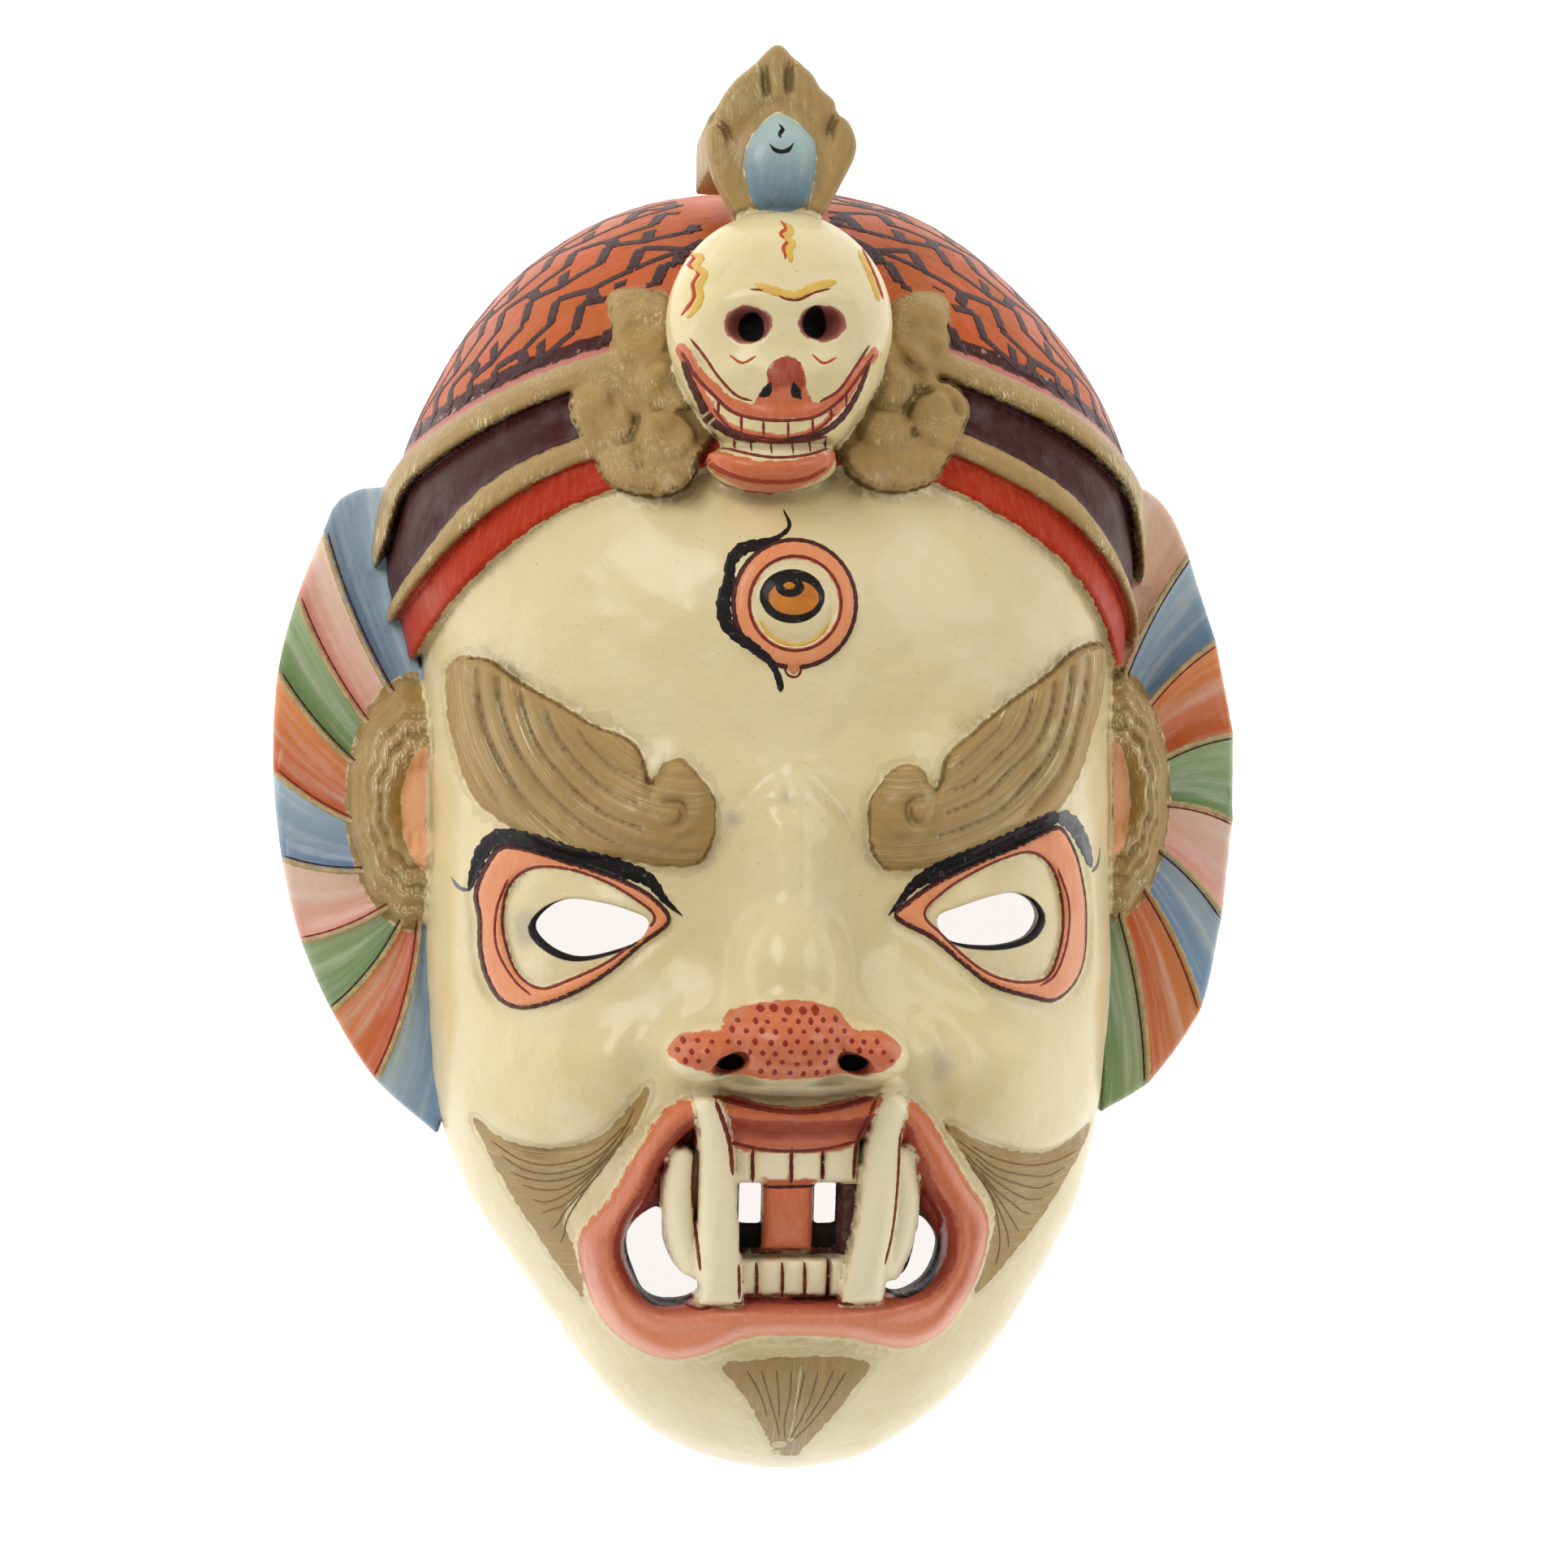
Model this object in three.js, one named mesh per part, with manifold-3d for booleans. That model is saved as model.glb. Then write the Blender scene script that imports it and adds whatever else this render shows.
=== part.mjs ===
// A Tibetan cham mask, carved from one block of wood: a wrathful three-eyed, tusked face under a
// banded helmet, with a skull crest, a flame-jewel finial, ears and a pleated fan at each side.
// Millimetres. The mask lies on its flat back rim: +Z out of the face, +Y to the crown, +X to the
// viewer's right. The whole mask is one solid.
import * as THREE from "three";
import { mergeVertices } from "three/addons/utils/BufferGeometryUtils.js";
import Module from "manifold-3d";

const wasm = await Module();
wasm.setup();

// ---- driving dimensions -------------------------------------------------------------------
const FACE_DEPTH = 146; // rim plane to the plain front of the face
const WALL = 10; // thickness of the carved wall and width of the back rim
const FULLNESS = 2.3; // 2 is an ellipsoid, more is squarer
const SPOKES = 40;
const RINGS = 12;
const CAVITY_RINGS = 7;
const HEAD_CENTRE = [3, 0];
const HEAD_OUTLINE = [
  [3, 192], [32, 190], [57, 181], [86, 158], [108, 130], [121, 98], [122, 70], [119, 30],
  [119, -20], [118, -85], [108, -138], [87, -178], [60, -210], [35, -225], [8, -229],
  [-19, -224], [-42, -210], [-72, -171], [-95, -136], [-105, -110], [-109, -70], [-111, -20],
  [-111, 35], [-118, 75], [-114, 99], [-104, 124], [-85, 154], [-63, 174], [-36, 187],
];

// Soft swells and dips of the face: place, spread and rise.
const SWELLS = [
  { at: [3, 65], spread: [62, 38], rise: 10 }, // forehead
  { at: [-74, 18], spread: [26, 22], rise: 7 }, // brow ridges
  { at: [80, 18], spread: [26, 22], rise: 7 },
  { at: [-38, -4], spread: [18, 16], rise: 7 },
  { at: [44, -4], spread: [18, 16], rise: 7 },
  { at: [3, -6], spread: [14, 16], rise: 5 }, // knot between the brows
  { at: [-63, -46], spread: [34, 24], rise: -10 }, // eye sockets
  { at: [70, -45], spread: [34, 24], rise: -10 },
  { at: [-62, -45], spread: [21, 17], rise: 11 }, // eyeballs
  { at: [69, -44], spread: [21, 17], rise: 11 },
  { at: [3, -40], spread: [18, 34], rise: 15 }, // bridge of the nose
  { at: [2, -82], spread: [34, 20], rise: 20 }, // root of the snout
  { at: [-62, -96], spread: [32, 28], rise: 18 }, // cheeks
  { at: [70, -95], spread: [32, 28], rise: 18 },
  { at: [5, -138], spread: [58, 40], rise: 14 }, // muzzle
  { at: [8, -192], spread: [38, 24], rise: 16 }, // chin
];

// Helmet: a raised cap above an arched edge, with a sunk dark band between two raised ones.
const HELMET_PROUD = 8;
const BAND_CENTRE = [1, -16];
const BAND_SHAPE = { wide: 1.1, fullness: 2.2 }; // the arch is a little wider than it is high
const HELMET_EDGE = 117; // height of the arch above BAND_CENTRE
const GROOVE = { from: 134, to: 149, depth: 2.5 };
const HELMET_FOOT = 38; // the cap ends at the temples

// ---- curves and surfaces ------------------------------------------------------------------
const smoothLoop = (points, steps) => new THREE.CatmullRomCurve3(
  points.map(([x, y]) => new THREE.Vector3(x, y, 0)), true, "centripetal",
).getSpacedPoints(steps).slice(0, -1);

const outlineByAngle = smoothLoop(HEAD_OUTLINE, 720).map((p) => {
  const [dx, dy] = [p.x - HEAD_CENTRE[0], p.y - HEAD_CENTRE[1]];
  return { angle: Math.atan2(dy, dx), radius: Math.hypot(dx, dy) };
}).sort((a, b) => a.angle - b.angle);

function headRadius(angle) {
  const wrapped = Math.atan2(Math.sin(angle), Math.cos(angle));
  const above = outlineByAngle.findIndex((o) => o.angle >= wrapped);
  const after = outlineByAngle[Math.max(above, 0)];
  const before = outlineByAngle.at(above - 1);
  const gap = THREE.MathUtils.euclideanModulo(after.angle - before.angle, 2 * Math.PI);
  const along = THREE.MathUtils.euclideanModulo(wrapped - before.angle, 2 * Math.PI) / gap;
  return THREE.MathUtils.lerp(before.radius, after.radius, along);
}

function faceDepth(x, y, proud) {
  const swell = SWELLS.reduce((sum, { at, spread, rise }) => {
    const across = (x - at[0]) / spread[0];
    const up = (y - at[1]) / spread[1];
    return sum + rise * Math.exp(-across * across - up * up);
  }, 0);
  return FACE_DEPTH + swell + proud;
}

// Height of the face above the rim plane at a place in front view.
function heightAt(x, y, proud = 0) {
  const [dx, dy] = [x - HEAD_CENTRE[0], y - HEAD_CENTRE[1]];
  const reach = Math.hypot(dx, dy) / (headRadius(Math.atan2(dy, dx)) + proud);
  return faceDepth(x, y, proud) * Math.max(1 - reach ** FULLNESS, 0) ** (1 / FULLNESS);
}

function solid(geometry) {
  const bare = geometry.clone();
  bare.deleteAttribute("normal");
  bare.deleteAttribute("uv");
  const merged = mergeVertices(bare, 1e-3);
  return new wasm.Manifold(new wasm.Mesh({
    numProp: 3,
    vertProperties: merged.attributes.position.array,
    triVerts: Uint32Array.from(merged.index.array),
  }));
}

// A closed body from rows of points that run round it, with a point at each end of the stack.
function stackOfRings(first, rings, last) {
  const count = rings[0].length;
  const points = [first, ...rings.flat(), last];
  const faces = [];
  for (let j = 0; j < count; j += 1) {
    const next = (j + 1) % count;
    faces.push(0, 1 + j, 1 + next);
    for (let i = 0; i < rings.length - 1; i += 1) {
      const [low, high] = [1 + i * count, 1 + (i + 1) * count];
      faces.push(low + j, high + j, high + next, low + j, high + next, low + next);
    }
    const end = 1 + (rings.length - 1) * count;
    faces.push(end + j, points.length - 1, end + next);
  }
  const geometry = new THREE.BufferGeometry();
  geometry.setAttribute("position", new THREE.Float32BufferAttribute(points.flat(), 3));
  geometry.setIndex(faces);
  return geometry;
}

// The face as a solid dome, grown by "proud" all over and closed by a flat floor.
function dome(proud, floor, rings = RINGS) {
  const power = 2 / FULLNESS;
  const layers = [];
  for (let i = 1; i <= rings; i += 1) {
    const tilt = (i / rings) * Math.PI / 2;
    const reach = Math.sin(tilt) ** power;
    const rise = i === rings ? 0 : Math.cos(tilt) ** power;
    const layer = [];
    for (let j = 0; j < SPOKES; j += 1) {
      const angle = (j / SPOKES) * 2 * Math.PI;
      const out = reach * (headRadius(angle) + proud);
      const x = HEAD_CENTRE[0] + out * Math.cos(angle);
      const y = HEAD_CENTRE[1] + out * Math.sin(angle);
      layer.push([x, y, i === rings ? floor : rise * faceDepth(x, y, proud)]);
    }
    layers.push(layer);
  }
  const [x, y] = HEAD_CENTRE;
  return solid(stackOfRings([x, y, faceDepth(x, y, proud)], layers, [x, y, floor]));
}

// A straight prism through the mask along Z, from an outline in front view.
function prism(outline, from = -10, to = 260) {
  const shape = new THREE.Shape(outline.map(([x, y]) => new THREE.Vector2(x, y)));
  const geometry = new THREE.ExtrudeGeometry(shape, { depth: to - from, bevelEnabled: false });
  return solid(geometry.translate(0, 0, from));
}

const smoothOutline = (points, steps) => smoothLoop(points, steps).map((p) => [p.x, p.y]);

// Part of the surface raised by "proud" inside an outline.
const relief = (outline, proud) => dome(proud, 0).intersect(prism(outline, 20));

function ellipsoid([x, y, z], [rx, ry, rz], turn = 0, around = 12, up = 6) {
  const ball = new THREE.SphereGeometry(1, around, up).rotateX(Math.PI / 2);
  return solid(ball.scale(rx, ry, rz).rotateZ(turn).translate(x, y, z));
}

// A round bar along a smooth path of [x, y, z] points.
function bar(path, radius, steps, sides = 8) {
  const curve = new THREE.CatmullRomCurve3(path.map((p) => new THREE.Vector3(...p)));
  const section = new THREE.Shape(Array.from({ length: sides }, (_, i) => {
    const angle = (i / sides) * 2 * Math.PI;
    return new THREE.Vector2(radius * Math.cos(angle), radius * Math.sin(angle));
  }));
  return solid(new THREE.ExtrudeGeometry(section, { steps, extrudePath: curve }));
}

const onFace = (points, proud) => points.map(([x, y]) => [x, y, heightAt(x, y) + proud]);

// ---- helmet -------------------------------------------------------------------------------
// Everything below the arch of the given height, which the helmet is cut away from.
function arch(height) {
  const { wide, fullness } = BAND_SHAPE;
  const steps = 26;
  const outline = [];
  for (let i = 0; i <= steps; i += 1) {
    const angle = (i / steps) * Math.PI;
    const [c, s] = [Math.cos(angle), Math.sin(angle)];
    outline.push([
      BAND_CENTRE[0] + height * wide * Math.sign(c) * Math.abs(c) ** (2 / fullness),
      BAND_CENTRE[1] + height * s ** (2 / fullness),
    ]);
  }
  const below = -260;
  outline.push([BAND_CENTRE[0] - height * wide, below], [BAND_CENTRE[0] + height * wide, below]);
  return prism(outline);
}

function helmet() {
  const aboveTemples = prism([[-200, HELMET_FOOT], [200, HELMET_FOOT], [200, 260], [-200, 260]]);
  const cap = dome(HELMET_PROUD, 0).intersect(aboveTemples).subtract(arch(HELMET_EDGE));
  const skin = dome(HELMET_PROUD + 4, -1).subtract(dome(HELMET_PROUD - GROOVE.depth, -1));
  const groove = skin.intersect(arch(GROOVE.to)).subtract(arch(GROOVE.from));
  return cap.subtract(groove.intersect(aboveTemples));
}

// ---- ears and fans ------------------------------------------------------------------------
// Concentric ridges of an ear, from its outer edge to its middle: share of the radius, height.
const EAR_BACK = 8;
const EAR_MIDDLE = 46;
const EAR_RIDGES = [
  [1, EAR_BACK], [1, 20], [0.92, 31], [0.8, 28], [0.68, 39], [0.56, 36], [0.42, 47], [0.3, 44],
];
const EARS = [
  { at: [-112, -6], radius: [23, 42] },
  { at: [119, -3], radius: [20, 42] },
];

function ear({ at, radius }) {
  const profile = [[0, EAR_BACK], ...EAR_RIDGES, [0, EAR_MIDDLE]].map(
    ([r, z]) => new THREE.Vector2(r, z),
  );
  const turned = new THREE.LatheGeometry(profile, 16).rotateX(Math.PI / 2);
  return solid(turned.scale(radius[0], radius[1], 1).translate(at[0], at[1], 0));
}

// Each fan runs down one side of the head. A border between two pleats goes from its root,
// under the ear, to its end on the outer edge.
const FAN_BACK = 3;
const FAN_RISE = { root: 24, edge: 14, ridge: 3 };
const STEPS_PER_PLEAT = 4; // samples across one pleat
const FANS = [
  {
    roots: [[-108, 30], [-112, 20], [-116, 12], [-118, 0], [-118, -14], [-116, -27], [-112, -36],
      [-108, -42], [-106, -46], [-104, -50]],
    ends: [[-124, 100], [-144, 86], [-152, 62], [-158, 35], [-160, 7], [-156, -24], [-151, -51],
      [-141, -74], [-126, -97], [-105, -117]],
  },
  {
    roots: [[112, 32], [118, 20], [123, 8], [125, -4], [125, -16], [121, -28], [116, -36],
      [111, -44], [108, -52]],
    ends: [[131, 101], [149, 76], [157, 49], [162, 17], [163, -8], [160, -40], [153, -72],
      [136, -102], [117, -111]],
  },
];

function fan({ roots, ends }) {
  const curve = (points) => new THREE.CatmullRomCurve3(
    points.map(([x, y]) => new THREE.Vector3(x, y, 0)), false, "centripetal",
  );
  const [rootCurve, edgeCurve] = [curve(roots), curve(ends)];
  const steps = (roots.length - 1) * STEPS_PER_PLEAT;
  const shares = [0, 0.5, 1];
  const rows = [];
  for (let i = 0; i <= steps; i += 1) {
    const inner = rootCurve.getPoint(i / steps);
    const outer = edgeCurve.getPoint(i / steps);
    const off = Math.abs(2 * ((i / STEPS_PER_PLEAT) % 1) - 1); // 1 on a border, 0 mid-pleat
    const top = shares.map((share) => {
      const p = inner.clone().lerp(outer, share);
      const rise = THREE.MathUtils.lerp(FAN_RISE.root, FAN_RISE.edge, share);
      return [p.x, p.y, rise - FAN_RISE.ridge * (1 - off * off)];
    });
    const back = [outer, inner].map((p) => [p.x, p.y, FAN_BACK]);
    rows.push([...top, ...back]);
  }
  // Rows are the rings of the body, so it is closed at its first and last row.
  const middle = (row) => row.reduce(
    (sum, p) => sum.map((v, k) => v + p[k] / row.length), [0, 0, 0],
  );
  if (ends[0][0] < 0) rows.reverse(); // keeps the faces of both fans pointing out
  return solid(stackOfRings(middle(rows[0]), rows, middle(rows.at(-1))));
}

// ---- face ---------------------------------------------------------------------------------
const BROW_PROUD = 6;
const BROWS = [
  {
    outline: [[-102, 36], [-96, 38], [-75, 26], [-58, 20], [-50, 8], [-38, 7], [-25, 2], [-22, -12],
      [-30, -24], [-45, -24], [-60, -20], [-82, -12], [-97, 4]],
    curl: [-33, -6],
  },
  {
    outline: [[104, 42], [92, 40], [74, 28], [60, 22], [50, 8], [42, 6], [32, 0], [29, -14],
      [38, -26], [54, -22], [72, -14], [90, -4], [100, 10]],
    curl: [41, -7],
  },
];

function brow({ outline, curl: [x, y] }) {
  const curl = ellipsoid([x, y, heightAt(x, y) + 3], [11, 11, 6]);
  return relief(smoothOutline(outline, 20), BROW_PROUD).add(curl);
}

const EYE_HOLES = [
  [[-76, -46], [-70, -38], [-58, -36], [-46, -38], [-40, -42], [-42, -48], [-56, -53], [-68, -53]],
  [[51, -42], [58, -38], [70, -34], [80, -36], [83, -42], [78, -49], [66, -51], [54, -49]],
];

const THIRD_EYE = { at: [2.5, 55], ring: 18, ball: 9 };

function thirdEye() {
  const { at: [x, y], ring, ball } = THIRD_EYE;
  const z = heightAt(x, y);
  // The raised ring stands round a shallow groove, with the domed eyeball inside it.
  const profile = [
    [0, -6], [ring, -6], [ring, 0], [ring - 3, 2], [ball + 4, 0.6], [ball, 2], [0, 3.4],
  ];
  const disc = new THREE.LatheGeometry(profile.map(([r, h]) => new THREE.Vector2(r, h)), 16);
  return solid(disc.rotateX(Math.PI / 2).translate(x, y, z));
}

const NOSE_TIP = 184;
const NOSTRILS = [[-18, -86], [21, -86]];

function nose() {
  const bulb = ellipsoid([1, -79, NOSE_TIP - 22], [21, 13, 22]);
  const wings = [[-23, -83, 0.25], [25, -83, -0.25]].map(
    ([x, y, turn]) => ellipsoid([x, y, NOSE_TIP - 28], [15, 10, 20], turn),
  );
  const bridge = ellipsoid([2, -62, NOSE_TIP - 36], [18, 26, 22]);
  const nostrils = NOSTRILS.map(([x, y]) => ellipsoid([x, y, NOSE_TIP - 16], [7, 3.5, 9], 0, 8, 6));
  const whole = wings.reduce((sum, wing) => sum.add(wing), bulb.add(bridge));
  return nostrils.reduce((sum, hole) => sum.subtract(hole), whole);
}

// ---- mouth --------------------------------------------------------------------------------
const MOUTH_SINK = 5; // floor of the open mouth below the face
const LIP_RADIUS = 8.5;
const LIP_PATH = [
  [-28, -103], [-47, -128], [-57, -142], [-52, -158], [-36, -168], [-16, -165], [4, -163],
  [24, -163], [40, -166], [54, -156], [57, -140], [46, -120], [36, -103],
];
const MOUTH_OPENING = [
  [-26, -98], [-30, -112], [-42, -130], [-48, -143], [-44, -155], [-30, -160], [4, -158],
  [34, -158], [46, -148], [48, -138], [40, -120], [34, -110], [32, -98],
];
const SIDE_GAPS = [
  [[-48, -142], [-44, -134], [-38, -130], [-34, -142], [-29, -154], [-27, -158], [-36, -161],
    [-45, -154]],
  [[43, -133], [49, -138], [51, -145], [47, -154], [37, -159], [31, -155], [38, -151],
    [42, -142]],
];
const TONGUE_GAPS = [[-13.5, -6], [10.5, 17]]; // from and to across, each side of the tongue
const TONGUE_GAP_RISE = [-137, -123];

function mouthSink() {
  return prism(smoothOutline(MOUTH_OPENING, 22), 60).subtract(dome(-MOUTH_SINK, 0));
}

function mouthGaps() {
  const sides = SIDE_GAPS.map((outline) => prism(smoothOutline(outline, 12), 60));
  const [low, high] = TONGUE_GAP_RISE;
  const centre = TONGUE_GAPS.map(([left, right]) => prism(
    [[left, low], [right, low], [right, high], [left, high]], 60,
  ));
  return [...sides, ...centre];
}

const UPPER_GUM = [[-21, -97], [31, -97], [25, -110], [25, -122], [-16, -122], [-16, -110]];
const LOWER_TEETH = [[-13, -146], [20, -146], [22, -160], [-15, -160]];
const TONGUE = [[-6, -121], [10, -121], [10, -145], [-6, -145]];

const INNER_FANGS = [
  [[-24, -98], [-22, -115], [-21, -135], [-20, -158]],
  [[33, -98], [30, -115], [28, -135], [27, -158]],
];
const OUTER_FANGS = [
  [[-32, -118], [-34, -132], [-32, -144], [-26, -155]],
  [[40, -116], [41, -130], [39, -142], [34, -153]],
];

function mouth() {
  const lips = bar(onFace(LIP_PATH, 0.5), LIP_RADIUS, 24);
  const gum = relief(UPPER_GUM, 4);
  const teeth = relief(LOWER_TEETH, 4);
  const tongue = relief(TONGUE, 0);
  const inner = INNER_FANGS.map((path) => bar(onFace(path, 3), 6.3, 5));
  const outer = OUTER_FANGS.map((path) => bar(onFace(path, 1), 5.2, 4));
  return [lips, gum, teeth, tongue, ...inner, ...outer];
}

// ---- crest --------------------------------------------------------------------------------
const SKULL = [-0.2, 143, 136];
const SKULL_RADIUS = 35;
const SOCKETS = [[-12.5, 140], [11.5, 141]];

function skull() {
  const [x, y, z] = SKULL;
  const cranium = ellipsoid(SKULL, [SKULL_RADIUS, SKULL_RADIUS, SKULL_RADIUS], 0, 16, 9);
  const cheeks = ellipsoid([x, y - 18, z + 6], [29, 22, 26]);
  const upperJaw = ellipsoid([x, y - 32, z + 8], [20, 13, 22]);
  const lowerJaw = ellipsoid([x - 3, y - 43, z + 10], [20.5, 8.5, 18]);
  const sockets = SOCKETS.map(([sx, sy]) => ellipsoid([sx, sy, z + 32], [6.3, 5.4, 9], 0, 10, 6));
  const whole = cranium.add(cheeks).add(upperJaw).add(lowerJaw);
  return sockets.reduce((sum, hole) => sum.subtract(hole), whole);
}

// Carved clouds beside the skull: a raised field with flat round lobes on it, [x, y, radius].
const CLOUD_PROUD = HELMET_PROUD + 6;
const CLOUDS = [
  {
    outline: [[-56, 151], [-37, 152], [-30, 138], [-22, 112], [-26, 97], [-34, 91], [-49, 94],
      [-58, 106], [-64, 120], [-62, 128], [-55, 134]],
    lobes: [[-45, 143, 11], [-52, 120, 11], [-41, 103, 12]],
  },
  {
    outline: [[32, 152], [50, 153], [52, 135], [58, 126], [60, 114], [52, 104], [46, 93], [34, 91],
      [22, 97], [14, 108], [24, 122], [30, 136]],
    lobes: [[41, 143, 10], [49, 117, 10], [34, 103, 12]],
  },
];

function cloud({ outline, lobes }) {
  const field = relief(outline, CLOUD_PROUD);
  return lobes.reduce((sum, [x, y, radius]) => {
    const z = heightAt(x, y, CLOUD_PROUD) - 2;
    return sum.add(ellipsoid([x, y, z], [radius, radius, 6], 0, 10, 5));
  }, field);
}

const LEAF = { from: 125, to: 138 };
const LEAF_OUTLINE = [
  [0, 231], [9, 224], [16, 216], [18, 211], [23, 204], [24, 196], [19, 186], [12, 176], [-12, 176],
  [-19, 186], [-22, 196], [-21, 205], [-16, 213], [-9, 223],
];
const CREST_BLOCK = { left: -22, right: 16, from: 60, to: 128, foot: 191.5, top: 210, round: 12 };
const CREST_NECK = { left: -10, right: 9, from: 62, to: 126, foot: 100, top: 204, round: 2 };
const JEWEL = { at: [-0.5, 194, 138], radius: [11.5, 14, 7] };

// A block drawn in side view, with its upper back edge rounded.
function post({ left, right, from, to, foot, top, round }) {
  const side = new THREE.Shape();
  side.moveTo(foot, from);
  side.lineTo(top - round, from);
  side.absarc(top - round, from + round, round, -Math.PI / 2, 0);
  side.lineTo(top, to);
  side.lineTo(foot, to);
  const block = new THREE.ExtrudeGeometry(side, {
    depth: right - left,
    bevelEnabled: false,
    curveSegments: 5,
  });
  // The side view is drawn as (y, z): turn it so that its depth runs along X.
  block.applyMatrix4(new THREE.Matrix4().set(0, 0, 1, left, 1, 0, 0, 0, 0, 1, 0, 0, 0, 0, 0, 1));
  return solid(block);
}

function finial() {
  const shape = new THREE.Shape(LEAF_OUTLINE.map(([x, y]) => new THREE.Vector2(x, y)));
  const bevel = 2.5;
  const leaf = new THREE.ExtrudeGeometry(shape, {
    depth: LEAF.to - LEAF.from - 2 * bevel,
    bevelThickness: bevel,
    bevelSize: bevel,
    bevelOffset: -bevel,
    bevelSegments: 2,
  }).translate(0, 0, LEAF.from + bevel);
  const jewel = ellipsoid(JEWEL.at, JEWEL.radius);
  return [solid(leaf), post(CREST_BLOCK), post(CREST_NECK), jewel];
}

// ---- the mask -----------------------------------------------------------------------------
const raised = [
  helmet(), ...EARS.map(ear), ...FANS.map(fan), ...BROWS.map(brow), thirdEye(), nose(),
  skull(), ...CLOUDS.map(cloud), ...finial(),
];
const openMouth = [mouthSink(), ...mouthGaps()];
const eyeHoles = EYE_HOLES.map((outline) => prism(smoothOutline(outline, 14), 40));
const hollow = [dome(-WALL, -5, CAVITY_RINGS), ...eyeHoles];

const add = (sum, piece) => sum.add(piece);
const cut = (sum, piece) => sum.subtract(piece);
const carved = openMouth.reduce(cut, raised.reduce(add, dome(0, 0)));
const gapless = mouth().reduce(add, carved);
const whole = hollow.reduce(cut, gapless);

// Joined pieces can shut small pockets in between them. Wood fills these, so only the outer skin,
// which is the largest connected set of triangles, is kept.
function outerSkin({ vertProperties, triVerts }) {
  const parent = Array.from({ length: vertProperties.length / 3 }, (_, i) => i);
  const find = (i) => {
    let top = i;
    while (parent[top] !== top) top = parent[top];
    parent[i] = top;
    return top;
  };
  for (let i = 0; i < triVerts.length; i += 3) {
    parent[find(triVerts[i + 1])] = find(triVerts[i]);
    parent[find(triVerts[i + 2])] = find(triVerts[i]);
  }
  const size = new Map();
  triVerts.forEach((v) => size.set(find(v), (size.get(find(v)) ?? 0) + 1));
  const largest = [...size].reduce((a, b) => (b[1] > a[1] ? b : a))[0];
  const skin = new THREE.BufferGeometry();
  skin.setAttribute("position", new THREE.BufferAttribute(vertProperties, 3));
  skin.setIndex([...triVerts].filter((v) => find(v) === largest));
  skin.computeVertexNormals();
  return skin;
}

const geometry = outerSkin(whole.getMesh());

const paint = new THREE.MeshStandardMaterial({ color: 0xe6d9b0, roughness: 0.35, metalness: 0 });
const mask = new THREE.Mesh(geometry, paint);
mask.name = "mask";

// The origin is the middle of the whole mask's box, on the plane of the back rim.
const box = new THREE.Box3().setFromObject(mask);
const middle = box.getCenter(new THREE.Vector3());
mask.position.set(-middle.x, -middle.y, -box.min.z);

const group = new THREE.Group();
group.add(mask);
export default group;
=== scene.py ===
"""A carved and painted Tibetan cham mask, lying on its back rim.

The wood is one solid, sculpted as a signed distance field on a millimetre grid: a domed head, a
relief drawn in front view, and round pieces (nose, skull, finial, ears, fans) joined to it.
The paint is a set of areas and brush strokes laid on that solid. All sizes below are millimetres
in the mask's own axes: x to the viewer's right, y to the crown, z out of the back rim.
"""
import math

import bpy
import numpy as np
import openvdb
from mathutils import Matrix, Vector
from mathutils.bvhtree import BVHTree


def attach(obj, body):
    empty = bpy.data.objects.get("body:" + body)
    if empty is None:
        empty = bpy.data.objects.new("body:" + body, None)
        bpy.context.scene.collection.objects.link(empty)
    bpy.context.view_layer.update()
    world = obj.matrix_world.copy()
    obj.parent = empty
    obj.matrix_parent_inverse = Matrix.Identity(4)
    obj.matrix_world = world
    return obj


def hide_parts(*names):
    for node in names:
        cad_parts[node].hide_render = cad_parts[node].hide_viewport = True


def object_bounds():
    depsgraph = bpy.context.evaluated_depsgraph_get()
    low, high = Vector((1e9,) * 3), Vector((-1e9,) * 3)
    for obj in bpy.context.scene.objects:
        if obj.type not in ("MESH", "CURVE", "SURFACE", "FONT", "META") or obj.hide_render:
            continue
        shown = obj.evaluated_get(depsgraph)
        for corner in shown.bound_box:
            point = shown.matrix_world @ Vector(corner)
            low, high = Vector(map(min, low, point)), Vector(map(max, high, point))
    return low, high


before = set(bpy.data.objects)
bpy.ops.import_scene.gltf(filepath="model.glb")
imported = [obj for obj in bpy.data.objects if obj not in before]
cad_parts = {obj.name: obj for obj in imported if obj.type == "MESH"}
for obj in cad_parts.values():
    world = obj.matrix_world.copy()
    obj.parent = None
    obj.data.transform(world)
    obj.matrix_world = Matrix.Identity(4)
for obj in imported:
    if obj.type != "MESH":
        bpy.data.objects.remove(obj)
cad_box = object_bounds()

MM = 0.001
CAD_HIGH = (163.065, 231.0)  # right and upper end of the CAD solid in the mask's own axes
SHIFT = np.array([CAD_HIGH[0] - cad_box[1][0] / MM, CAD_HIGH[1] - cad_box[1][1] / MM, 0.0])

# ---- head ----------------------------------------------------------------------------------
FACE_DEPTH = 146.0
WALL = 10.0
FULLNESS = 2.3
HEAD_CENTRE = (3.0, 0.0)
HEAD_OUTLINE = [
    (3, 192), (32, 190), (57, 181), (86, 158), (108, 130), (121, 98), (122, 70), (119, 30),
    (119, -20), (118, -85), (108, -138), (87, -178), (60, -210), (35, -225), (8, -229),
    (-19, -224), (-42, -210), (-72, -171), (-95, -136), (-105, -110), (-109, -70), (-111, -20),
    (-111, 35), (-118, 75), (-114, 99), (-104, 124), (-85, 154), (-63, 174), (-36, 187)]
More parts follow.
